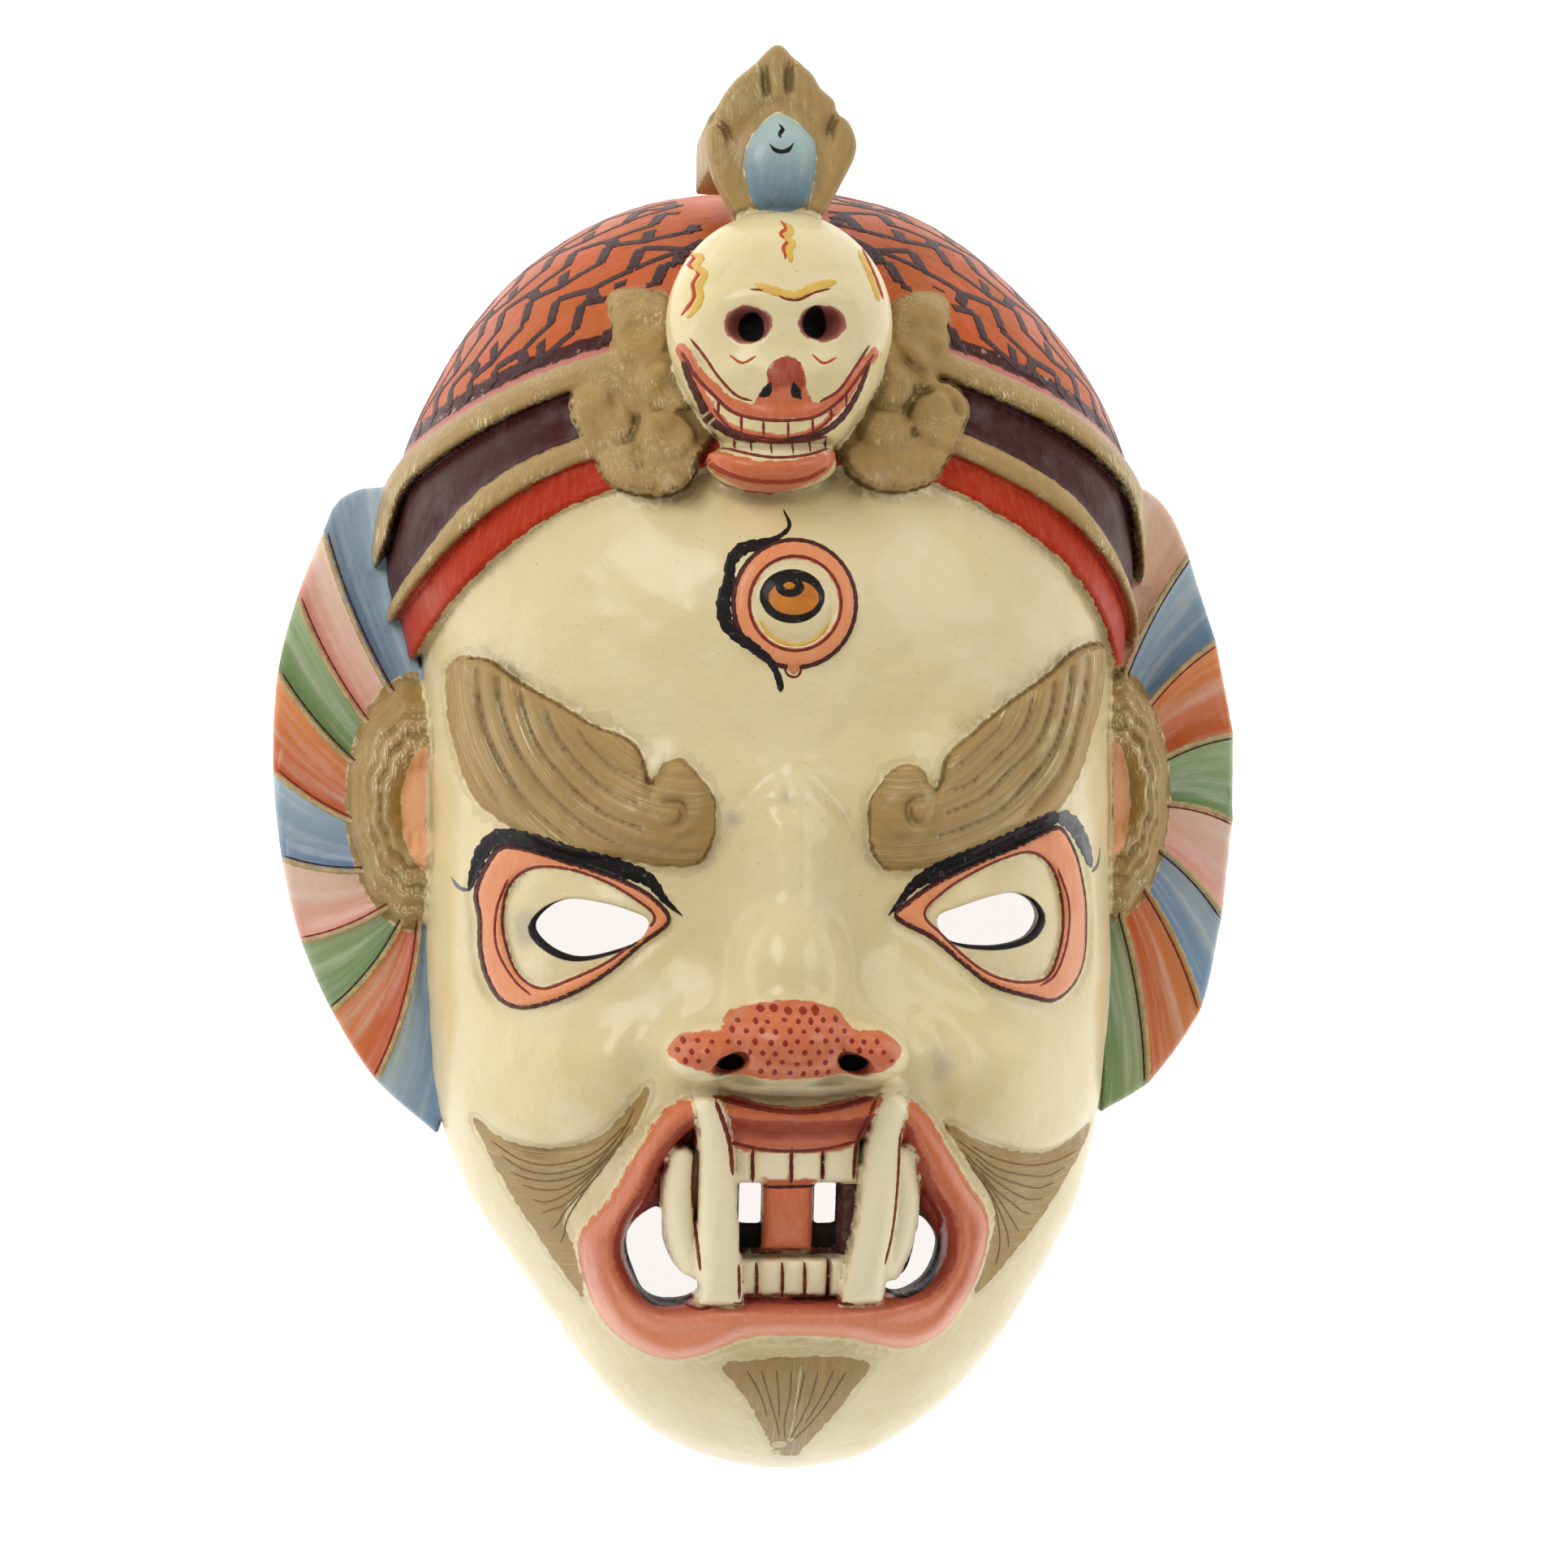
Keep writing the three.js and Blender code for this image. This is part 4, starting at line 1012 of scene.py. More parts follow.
PLEATS = {"blue": ("blue_pale", "blue"), "green": ("green_pale", "green"),
          "pink": ("pink_pale", "pink"), "peach": ("pink_pale", "peach"),
          "orange": ("orange_pale", "orange"), "vermilion": ("orange_pale", "vermilion")}
grain = np.column_stack([x * 0.8 + 6 * at_vertices(clump(40, 41)), y * 0.8, z])
for fan, shape, inside in zip(FANS, fan_shapes, fan_at):
    pleat, share = at_vertices(shape["pleat"]), at_vertices(shape["share"])
    here = inside > -OVERLAP
    number = np.clip(pleat, 0, len(fan["paint"]) - 0.01).astype(int)
    ends = np.array([[linear(c) for c in PLEATS[name]] for name in fan["paint"]])
    # painted shade: each pleat darkens across its valley from one edge to the next, and towards its
    # root, between a pale and a dark copy of its colour
    painted_pleat_shade = 0.75 * smoothstep(0.1, 0.95, pleat % 1) + 0.25 * smoothstep(1.1, 0.1, share)
    painted_pleat_shade = painted_pleat_shade[:, None]
    tint = np.where(here[:, None], ends[number, 0] * (1 - painted_pleat_shade) + ends[number, 1] * painted_pleat_shade, tint)
    reach_tint = np.where(here, np.maximum(reach_tint, inside), reach_tint)
    grain = np.where(here[:, None], np.column_stack([pleat * 9, share * 9, z * 0]), grain)
fade = smoothstep(180, 206, y)[:, None]
tint = np.where((jewel_paint > -OVERLAP)[:, None],
                linear("jewel_low") * (1 - fade) + linear("jewel_top") * fade, tint)
AREA["tint"] = np.minimum(reach_tint, -np.maximum(AREA["gold"], -9))
AREA["tint"] = np.maximum(AREA["tint"], np.minimum(jewel_paint, 3))

hair_at = at_vertices(hair) > -1
for sweep, side in zip(BROW_SWEEP, (-1, 1)):
    here = hair_at & (side * x > 0)
    away = np.hypot(x - sweep[0], y - sweep[1])
    turn = np.arctan2(y - sweep[1], x - sweep[0]) * 40
    grain = np.where(here[:, None], np.column_stack([away, turn * 0.12, z * 0]), grain)
for (cx, cy), side in (((-72, -72), -1), ((84, -72), 1)):
    here = (at_vertices(beard) > -1) & (y > -175) & (side * x > 0)
    away = np.hypot(x - cx, y - cy)
    grain = np.where(here[:, None], np.column_stack([away * 1.1, x * 0.08, z * 0]), grain)
here = (at_vertices(area(GOATEE)) > -1)
grain = np.where(here[:, None], np.column_stack([x * 0.9, y * 0.1, z * 0]), grain)

# concave places darken, partly as dirt and partly as painted shade; sharp edges are worn, and gold takes
# painted glints on them
AREA["hollow"] = np.clip(1 - sample3(field, P + NORMAL * 3.5) / 3.5, 0, 1.5)
AREA["hollow"] *= np.where(at_vertices(area(MOUTH)) > 0, 0.4, 1.0)
AREA["hollow"] *= np.where(np.maximum(*ear_at) > -1, 0.4, 1.0)
AREA["fan"] = np.maximum.reduce(fan_at)
AREA["sharp"] = np.clip(1 + sample3(field, P - NORMAL * 2.5) / 2.5, 0, 1)
# grey marks, and painted shadow: the three marks under the nose, at y -93 to -95, are its shadow
SMUDGES_AND_SHADOWS = [  # place, spread and strength of the grey marks and the painted shadows
    ((-79, -45), 7, 1.3), ((-72, -34), 5, 0.6), ((-68, -56), 4, 0.6), ((86, -44), 5, 1.1),
    ((-15, -11), 3.2, 0.9), ((0.5, -4), 3.0, 0.9), ((19.5, -9.5), 3.2, 0.9), ((-28, -93), 5, 0.6),
    ((0, -95), 9, 0.7), ((20, -95), 9, 0.6), ((-88, 150), 12, 0.5), ((-43, -86), 6, 0.7),
    ((50, -88), 7, 0.8), ((8, -224), 10, 0.7), ((7, -214), 4, 0.4)]
AREA["smudge"] = sum(power * np.exp(-((x - cx) ** 2 + (y - cy) ** 2) / wide ** 2)
                     for (cx, cy), wide, power in SMUDGES_AND_SHADOWS)
# painted shade: darker red where the lips, gum and tongue turn into the mouth
AREA["rosy"] = np.maximum.reduce([
    at_vertices(bump(area(LIP_INNER), 3.5)) * (reach_tint > 0),
    0.8 * at_vertices(bump(area(GUM) - 1, 2.0)), 0.6 * at_vertices(bump(tongue, 2.0))])
AREA["rosy"] *= at_vertices(union(fangs, teeth)) < -0.5


def put(name, values, kind="FLOAT"):
    layer = mask.data.attributes.new(name, kind, "POINT")
    field_name = {"FLOAT": "value", "FLOAT_COLOR": "color", "FLOAT_VECTOR": "vector"}[kind]
    layer.data.foreach_set(field_name, np.ascontiguousarray(values, np.float32).ravel())


for name, values in AREA.items():
    put(name, values)
put("paint", np.column_stack([tint, np.ones(len(P))]), "FLOAT_COLOR")
put("grain", grain, "FLOAT_VECTOR")


# ---- brush strokes -------------------------------------------------------------------------
mesh_points = P.astype(float)
corners = np.empty(len(mask.data.polygons) * 3, np.int32)
mask.data.polygons.foreach_get("vertices", corners)
surface = BVHTree.FromPolygons(mesh_points.tolist(), corners.reshape(-1, 3).tolist())


ABOVE, OUTSIDE = 240, 330  # clear of the mask: ray starts over it, and out from its middle


def from_front(place):
    return surface.ray_cast(Vector((place[0], place[1], ABOVE)), Vector((0, 0, -1)))


# the dome beyond the helmet's rim, from the front edge back to the rim plane
DOME_WIDE, DOME_HIGH = 190, 150
DOME_Z = np.linspace(132, 1, 60)
DOME_R = DOME_WIDE * (1 - (DOME_Z / DOME_HIGH) ** FULLNESS) ** (1 / FULLNESS)
DOME_RUN = np.concatenate([[0], np.cumsum(np.hypot(np.diff(DOME_Z), np.diff(DOME_R)))])


def from_side(hand):
    """Finds places on the dome: lengths along the rim from the middle, and back from the front."""
    def cast(place):
        height, radius = (np.interp(place[1], DOME_RUN, line) for line in (DOME_Z, DOME_R))
        bearing = math.pi / 2 - hand * place[0] / radius
        out = Vector((math.cos(bearing), math.sin(bearing), 0))
        start = Vector((HEAD_CENTRE[0], HEAD_CENTRE[1], height)) + out * OUTSIDE
        return surface.ray_cast(start, -out)
    return cast


STROKES = {}
EDGE_LIFT, BURY = 0.04, 0.45  # a stroke's edge above the wood, and its underside below it
WIDEST_JUMP = 7  # rows further apart than this are separate runs of paint
TAPER = 2.4

def stroke(colour, points, width, smooth=True, closed=False, taper=True, project=from_front,
           lift=0.25, where=None, step=0.9, uneven=1.0):
    """Lays a closed thin ribbon of paint on the wood along a line."""
    path = spline(points, closed, 1.0) if smooth else np.asarray(points, float)
    if closed:
        path = np.vstack([path, path[:1]])
    gaps = np.hypot(*np.diff(path, axis=0).T)
    run = np.concatenate([[0], np.cumsum(gaps)])
    count = max(3, int(run[-1] / step) + 1)
    at = np.linspace(0, run[-1], count)
    path = np.column_stack([np.interp(at, run, path[:, k]) for k in (0, 1)])
    knots = np.linspace(0, 1, np.size(width))
    widths = np.interp(np.linspace(0, 1, count), knots, np.atleast_1d(width))
    waver = 0.10 * np.sin(at * 1.7 + path[0, 0]) + 0.06 * np.sin(at * 3.9)
    widths = widths * (1 + uneven * waver)
    if taper and not closed:
        widths = widths * np.sqrt(np.clip(np.minimum(at, at[-1] - at) / TAPER + 0.08, 0, 1))
    along = np.gradient(path, axis=0)
    along /= np.maximum(np.linalg.norm(along, axis=1, keepdims=True), 1e-9)
    normal = np.column_stack([-along[:, 1], along[:, 0]])
    widest = np.max(widths)
    across = np.linspace(-0.5, 0.5, 3 if widest < 2 else 2 * math.ceil(widest / 2.2) + 3)
    rows = []
    for centre, side, wide in zip(path, normal, widths):
        row = []
        for share in across:
            hit, out, _, _ = project(centre + side * share * wide)
            if hit is None:
                break
            edge = abs(share) > 0.49
            row.append((np.array(hit), np.array(out), edge))
        if len(row) < len(across):
            continue
        if where and not where(row[len(row) // 2][0]):
            continue
        rows.append(row)
    lay_ribbon(colour, rows, lift)


def lay_ribbon(colour, rows, lift):
    """Splits rows where they jump, and adds a closed strip for each run."""
    start = 0
    for i in range(1, len(rows) + 1):
        broken = i == len(rows) or np.linalg.norm(rows[i][0][0] - rows[i - 1][0][0]) > WIDEST_JUMP
        if not broken:
            continue
        part = rows[start:i]
        start = i
        if len(part) < 2:
            continue
        points, faces = STROKES.setdefault(colour, ([], []))
        first = len(points)
        n = len(part[0])
        for row in part:
            points.extend(p + out * (EDGE_LIFT if edge else lift) for p, out, edge in row)
            points.extend(p - out * BURY for p, out, _ in reversed(row))
        m = 2 * n
        for r in range(len(part) - 1):
            a, b = first + r * m, first + (r + 1) * m
            faces.extend((a + k, a + (k + 1) % m, b + (k + 1) % m, b + k) for k in range(m))
        for base, turn in ((first, -1), (first + (len(part) - 1) * m, 1)):
            for k in range(n - 1):
                cap = (base + k, base + k + 1, base + m - 2 - k, base + m - 1 - k)
                faces.append(cap[::turn])


def ring_line(points, offset):
    """A closed line offset inward from a closed outline."""
    ring = spline(points, True, 2.0)
    step = np.roll(ring, -1, axis=0) - np.roll(ring, 1, axis=0)
    step /= np.linalg.norm(step, axis=1, keepdims=True)
    ahead = np.roll(ring, -1, axis=0)
    twice_area = np.sum(ring[:, 0] * ahead[:, 1] - ahead[:, 0] * ring[:, 1])
    side = np.column_stack([-step[:, 1], step[:, 0]]) * np.sign(twice_area)
    return ring + side * offset


def ellipse(centre, radii, start=0.0, end=360.0):
    t = np.radians(np.linspace(start, end, 24))
    return [(centre[0] + radii[0] * math.cos(a), centre[1] + radii[1] * math.sin(a)) for a in t]


def disc_stroke(colour, centre, radii, lift):
    """A filled ellipse, laid as one ribbon that widens and narrows."""
    t = np.linspace(-0.98, 0.98, 15)
    line = [(centre[0] + radii[0] * share, centre[1]) for share in t]
    stroke(colour, line, 2 * radii[1] * np.sqrt(1 - t * t), smooth=False, taper=False, lift=lift,
           step=min(0.7, radii[0] / 3), uneven=0)


# eyes
LIDS = [
    ([(-30.5, -41), (-35.7, -36.3), (-40.7, -30), (-48.2, -26.8), (-65.5, -22), (-77.9, -18.2),
      (-86.6, -17), (-91.4, -21), (-94.2, -28), (-95.8, -34)],
     (0.6, 2.6, 5, 5.8, 5.6, 5.8, 6, 5.4, 4, 1.8)),
    ([(33.6, -41), (37.6, -36.4), (42, -31.4), (48, -28), (61.4, -22.6), (75.3, -17.6), (87, -11.8),
      (91.5, -10)], (0.6, 2.8, 5.2, 6, 5.6, 5.8, 6, 5))]
for points, width in LIDS:
    stroke("black", points, width)
stroke("grey", [(91, -9.6), (97.2, -13), (102.6, -20.4), (105.2, -27)], (5, 5.4, 4.8, 2.6))
stroke("grey", [(105.4, -28.5), (108.4, -26), (109.5, -21)], (1.6, 1.2, 0.6))
stroke("grey", [(-95.5, -34), (-98.6, -33.6), (-101.6, -30)], (1.6, 1.2, 0.6))
for ring, white in zip(EYE_RINGS, EYE_WHITES):
    stroke("dark_line", ring_line(ring, 0.2), 1.5, closed=True)
    stroke("line", ring_line(white, -0.4), 0.9, closed=True)
stroke("line", [(-84, -30), (-87.5, -40), (-87.4, -52), (-82, -62), (-77, -66.5)], 0.8)
stroke("line", [(91, -27), (95.2, -38), (94.6, -50), (89.5, -61), (84, -64)], 0.8)

# third eye
stroke("dark_line", ring_line(ellipse(THIRD_EYE, THIRD_RING, 0, 345), 0.2), 1.4, closed=True)
stroke("line", ellipse(THIRD_EYE, (14.2, 14.6), 0, 345), 1.0, closed=True)
stroke("yellow", ellipse((THIRD_EYE[0], 54.4), (11.4, 11.4), 200, 340), 1.2)
disc_stroke("black", (2.6, 57.9), (10, 8.4), 0.2)
disc_stroke("iris", (3.0, 57.4), (7.8, 5.8), 0.32)
disc_stroke("black", (1.8, 60.6), (4.4, 3.6), 0.44)
disc_stroke("iris", (1.6, 61.0), (1.8, 1.5), 0.56)
stroke("eye_ring", [(3.2, 38), (3.2, 34)], (6, 3))
stroke("line", [(0, 37), (1.6, 33.6), (4.4, 33.2), (6.2, 37)], 0.8)
stroke("black", [(0.7, 85.2), (2.4, 80), (-1, 76.6), (-6, 74.6), (-12.6, 72.6), (-16, 68.6),
                 (-16.6, 63), (-18.3, 57), (-17.6, 50), (-14, 45.6), (-8.8, 41.8), (-3.4, 37),
                 (-0.9, 31), (-0.7, 28.6)],
       (0.6, 1.3, 1.6, 3.4, 4.2, 3.4, 3.6, 4.4, 4.4, 3.8, 3.2, 2.6, 2, 2.6))

# mouth
stroke("line", [(-26.6, -109), (-27.4, -125), (-26, -140), (-24.5, -152)], 1.0)
stroke("line", [(36.4, -108), (36.2, -125), (35, -140), (33, -150)], 1.0)
stroke("line", [(-22, -96.3), (-10, -99.4), (3, -101), (16, -100), (28, -97)], 1.4)
stroke("line", [(-21.6, -97), (-18.8, -104), (-16.6, -111), (-15.4, -121)], 1.4)
stroke("line", [(28.6, -97.6), (25.6, -104), (23.4, -110.6), (22.6, -123)], 1.2)
stroke("line", [(-16.8, -110.8), (-6, -113.2), (3, -113.8), (14, -113), (23.2, -110.8)], 1.1)
for x_line in UPPER_TEETH["x"][1:-1]:
    stroke("line", [(x_line - 0.2, -112.5), (x_line, -118), (x_line + 0.2, -124)], 1.1)
for x_line in LOWER_TEETH["x"][:-1]:
    stroke("line", [(x_line - 0.4, -149.6), (x_line, -155), (x_line + 0.2, -161)], 1.1)
stroke("line", [(-14, -162.4), (-4, -162), (6, -162.4), (16, -162), (24, -163.4)], 1.5)
stroke("dark_line", [(-12.4, -124.8), (-4, -125.4), (6, -125.2), (14, -125), (20, -124.8)], 1.0)
stroke("line", [(-20.6, -164.6), (-25, -165), (-30, -163)], 1.0)

# nose spots
SPOTS = {"corner": (-40, -91), "pitch": (4.2, 3.2), "rows": 8, "columns": 20}
BIG_SPOTS_ABOVE = -71.5
dice = np.random.default_rng(5)
for row in range(SPOTS["rows"]):
    for column in range(SPOTS["columns"]):
        (left, low), (wide, high) = SPOTS["corner"], SPOTS["pitch"]
        sx = left + column * wide + (row % 2) * wide / 2 + dice.uniform(-0.5, 0.5)
        sy = low + row * high + dice.uniform(-0.4, 0.4)
        spot = np.array([[sx, sy, 0.0]])
        if sample2(nose_paint, spot)[0] < 1.2 or sample2(nostrils, spot)[0] > -1.6:
            continue
        size = 1.25 if sy > BIG_SPOTS_ABOVE else 0.8
        disc_stroke("spot", (sx, sy), (size, size * dice.uniform(0.8, 1.4)), 0.25)

# skull
stroke("line", [(-31.6, 133.4), (-27.4, 125.6), (-22.2, 119.6), (-16, 114), (-8, 111.6), (0, 111.2),
                (9, 112.6), (16.6, 117.8), (22.8, 125.6), (27.6, 132.4)], 1.0)
stroke("line", [(-29, 137), (-25, 131.5), (-20.5, 124.5), (-15, 118.8), (-10.6, 117.2)], 0.8)
stroke("line", [(26, 135), (21, 127.5), (16, 120.6), (10, 117)], 0.8)
stroke("line", [(-22, 115.6), (-16.3, 109), (-7.7, 106.2), (2, 105.8), (9.7, 108.8), (15, 113.6)], 0.8)
for sx, top, low in ((-20.6, 118.6, 113), (-13.8, 113.4, 108), (-7.2, 111.4, 106.6), (0.3, 111, 106),
                     (7.9, 112.4, 107.6), (13.8, 116, 111.6), (18.6, 120.6, 116)):
    stroke("line", [(sx, top), (sx + 0.2, low)], 0.9)
for points in ([(-31.2, 130.6), (-27.4, 121.6), (-22.5, 112.9), (-16, 107.4), (-9, 105)],
               [(26.2, 129.4), (22.6, 120.6), (17.4, 112.6), (10, 107.4), (-1, 105.4)]):
    stroke("dark_line", points, (1.2, 1.8, 2.0, 1.8, 1.0))
for sx, top in ((-15.4, 106.6), (-10.6, 105.8), (-4.6, 105), (2.1, 105), (7.6, 105.6), (12.8, 106.6)):
    stroke("line", [(sx, top), (sx + 0.1, top - 3.8)], 0.8)
stroke("line", [(-22, 105), (-18, 103.4), (-12, 101.4), (-4.6, 100.1), (2, 100.3), (8, 101.4),
                (13.6, 103.4)], 0.9)
stroke("line", [(-15.6, 107.4), (-10.9, 106), (-5, 104.9), (1.6, 104.9), (7.5, 105.6), (13, 107)], 0.8)
stroke("lip_edge", [(-25, 102.6), (-21.5, 97.6), (-13.5, 93.8), (-3, 92.6), (6.5, 93.8),
                    (13, 97.4)], 1.3)
stroke("yellow", [(-10, 152.6), (-5, 150.6), (2, 149.2), (8, 151.6), (15, 153.8)],
       (2.2, 2.8, 2.4, 3.2, 2.2))
stroke("line", [(-11.4, 151), (-5, 150.2), (-1, 148), (3, 147.6), (8, 150), (13, 151.4)], 0.8)
SKULL_CRACKS = [  # path, and how far to the side its yellow edge lies
    ([(-1, 173.6), (0.4, 171), (-1.6, 169), (0.6, 166.6), (-1, 164.6), (-0.4, 162),
      (-0.6, 160.6)], 1.6),
    ([(-29.6, 165.4), (-27.2, 163), (-29, 160.6), (-26.4, 157.6), (-28.2, 154), (-28, 149.6),
      (-31.6, 144.4)], 1.8),
    ([(25, 166), (27, 161), (29, 156), (31, 150)], -1.6)]
for points, shift in SKULL_CRACKS:
    stroke("yellow", [(px + shift, py - 1) for px, py in points], 2.2)
    stroke("crack", points, 1.2)
for sx in (-13.9, 11):
    stroke("crack", [(sx - 3.6, 131.2), (sx, 128.6), (sx + 4.2, 130.6)], 0.8)
for points in ([(-5.4, 122.4), (-6.6, 119.6), (-8.6, 118.6)],
               [(1.6, 122.6), (2.6, 119.4), (4.2, 117.8)]):
    stroke("black", points, (1.8, 3.4, 2))

# the line and the worn point of the beard
stroke("pale", [(8.8, -184), (8.4, -196), (8.2, -206), (7.8, -214)], 0.7)
for place, radii in (((5, -214.5), (2.6, 1.6)), ((8.6, -212.4), (1.4, 1.0)),
                     ((4.6, -218), (1.6, 1.4))):
    disc_stroke("pale", place, radii, 0.2)


def strands(upper, lower, count, width=0.55):
    """Fine lines of hair between two curves."""
    for k in range(1, count):
        share = k / count
        path = np.array(upper) * (1 - share) + np.array(lower) * share
        path = path + dice.uniform(-0.5, 0.5, path.shape)
        stroke("strand", path[:len(path) - k % 2], width)


strands([(-92, -110.5), (-82, -116), (-70, -118), (-57, -114), (-47, -104), (-43, -97)],
        [(-63, -152), (-64, -147), (-64, -142), (-62, -134), (-57, -126), (-52, -118)], 9)
strands([(105, -114), (95, -118), (84, -119), (70, -116.5), (60, -112), (54, -108)],
        [(69, -159), (71, -153), (72, -146), (71, -138), (68, -130), (62, -122)], 9)
strands([(-12, -186), (-7, -195), (-2, -203), (3, -211)],
        [(28, -187), (22, -197), (16, -206), (10, -214)], 9)

# jewel
stroke("black", [(-0.6, 205), (0.6, 203.4), (-0.6, 201.8), (-0.2, 200.6)], (1.0, 1.2, 1.8, 1.2))
stroke("black", [(-3.6, 198.6), (-2.2, 196.8), (0, 196.2), (2.2, 196.8), (3.8, 199)],
       (0.7, 1.3, 1.4, 1.3, 0.7))

# ridges of the fans: a pale line along each crest, partly paint and partly a painted highlight, with a
# thin dark line beside it
def on_fan(place):
    return place[2] < 27


for fan, shape in zip(FANS, fan_shapes):
    count = len(fan["paint"])
    for k in range(1, count):
        at = int(round(k / count * (len(shape["line"]["roots"]) - 1)))
        path = np.array([pleat_line(shape["line"], s)[at] for s in np.linspace(0.02, 0.985, 7)])
        stroke("ridge_line_and_highlight", path, 1.7, taper=False, where=on_fan)
        side = np.array([-(path[-1] - path[0])[1], (path[-1] - path[0])[0]])
        side /= np.linalg.norm(side)
        stroke("dark_line" if k % 2 else "line", path - side * 1.4, 0.6, where=on_fan)

# lattice of the dome: rows of bent lines, joined by short thick bars
LATTICE = {"pitch": 30.0, "rows": 13.0, "shift": 11.0, "thin": 2.8, "thick": 4.4}
LATTICE_REACH = {"rows": 15, "columns": 10}
LOWEST_LATTICE = 14  # the bars stop this far above the rim plane


def on_dome(place):
    clear = sample3(head, place[None])[0] < 8.6 and sample2(on_crest, place[None])[0] < -0.5
    measure = helmet_measure(place[0], place[1])
    clear = clear and (abs(place[0] + 3) > 24 or place[1] < 182)
    return clear and measure > PINK_TO + 0.5 and place[1] > HELMET_FOOT and place[2] > LOWEST_LATTICE


def lattice_line(points, width, hand):
    stroke("lattice", points, width, smooth=False, project=from_side(hand), taper=False,
           lift=0.12, where=on_dome, uneven=0.6)


for hand in (1, -1):
    for row in range(LATTICE_REACH["rows"]):
        for column in range(-1, LATTICE_REACH["columns"]):
            across = column * LATTICE["pitch"] + (row % 3) * LATTICE["shift"]
            start = np.array([across, row * LATTICE["rows"]])
            start += dice.uniform(-0.8, 0.8, 2)
            low, bend = start - (15, 0), start + (0, 1.5)
            peak, foot = start + (12.5, 9.8), start + (16, 0)
            lattice_line([low, bend, peak], LATTICE["thin"], hand)
            lattice_line([peak, foot], LATTICE["thick"], hand)
            up = 1 if row % 2 else -1
            lattice_line([bend, bend + (-1.5, 7.5 * up)], LATTICE["thick"], hand)

# ---- materials -----------------------------------------------------------------------------
class Shader:
    """A node tree with one Principled shader and short calls for the nodes used here."""

    def __init__(self, name, roughness, coat, coat_roughness=0.12):
        self.material = bpy.data.materials.new(name)
        self.material.use_nodes = True
        self.tree = self.material.node_tree
        self.bsdf = self.tree.nodes["Principled BSDF"]
        self.bsdf.inputs["Roughness"].default_value = roughness
        self.bsdf.inputs["Coat Weight"].default_value = coat
        self.bsdf.inputs["Coat Roughness"].default_value = coat_roughness
        self.bsdf.inputs["Specular IOR Level"].default_value = 0.05

    def feed(self, socket, value):
        if isinstance(value, bpy.types.NodeSocket):
            self.tree.links.new(value, socket)
        elif isinstance(value, (tuple, list, np.ndarray)) and len(value) == 3 and socket.type == "RGBA":
            socket.default_value = (*value, 1)
        else:
            socket.default_value = value

    def node(self, kind, inputs=(), **settings):
        made = self.tree.nodes.new(kind)
        for key, value in settings.items():
            setattr(made, key, value)
        for key, value in dict(inputs).items():
            self.feed(made.inputs[key], value)
        return made

    def attribute(self, name, output="Fac"):
        return self.node("ShaderNodeAttribute", attribute_name=name).outputs[output]

    def calc(self, operation, a, b=0.0, clamp=False):
        return self.node("ShaderNodeMath", {0: a, 1: b}, operation=operation, use_clamp=clamp).outputs[0]

    def ramp(self, value, low, high, to_low=0.0, to_high=1.0):
        return self.node("ShaderNodeMapRange", {
            "Value": value, "From Min": low, "From Max": high, "To Min": to_low, "To Max": to_high,
        }, interpolation_type="SMOOTHSTEP").outputs[0]

    def mix(self, share, a, b, blend="MIX"):
        made = self.node("ShaderNodeMix", data_type="RGBA", blend_type=blend)
        self.feed(made.inputs["Factor"], share)
        self.feed(made.inputs[6], a)
        self.feed(made.inputs[7], b)
        return made.outputs[2]

    def noise(self, vector, scale, detail=3.0, roughness=0.55):
        return self.node("ShaderNodeTexNoise", {
            "Vector": vector, "Scale": scale, "Detail": detail, "Roughness": roughness}).outputs["Fac"]

    def stretch(self, vector, scale):
        return self.node("ShaderNodeMapping", {"Vector": vector, "Scale": scale}).outputs[0]

    def bump(self, height, distance, strength=1.0):
        made = self.node("ShaderNodeBump", {
            "Height": height, "Distance": distance, "Strength": strength})
        self.feed(self.bsdf.inputs["Normal"], made.outputs[0])


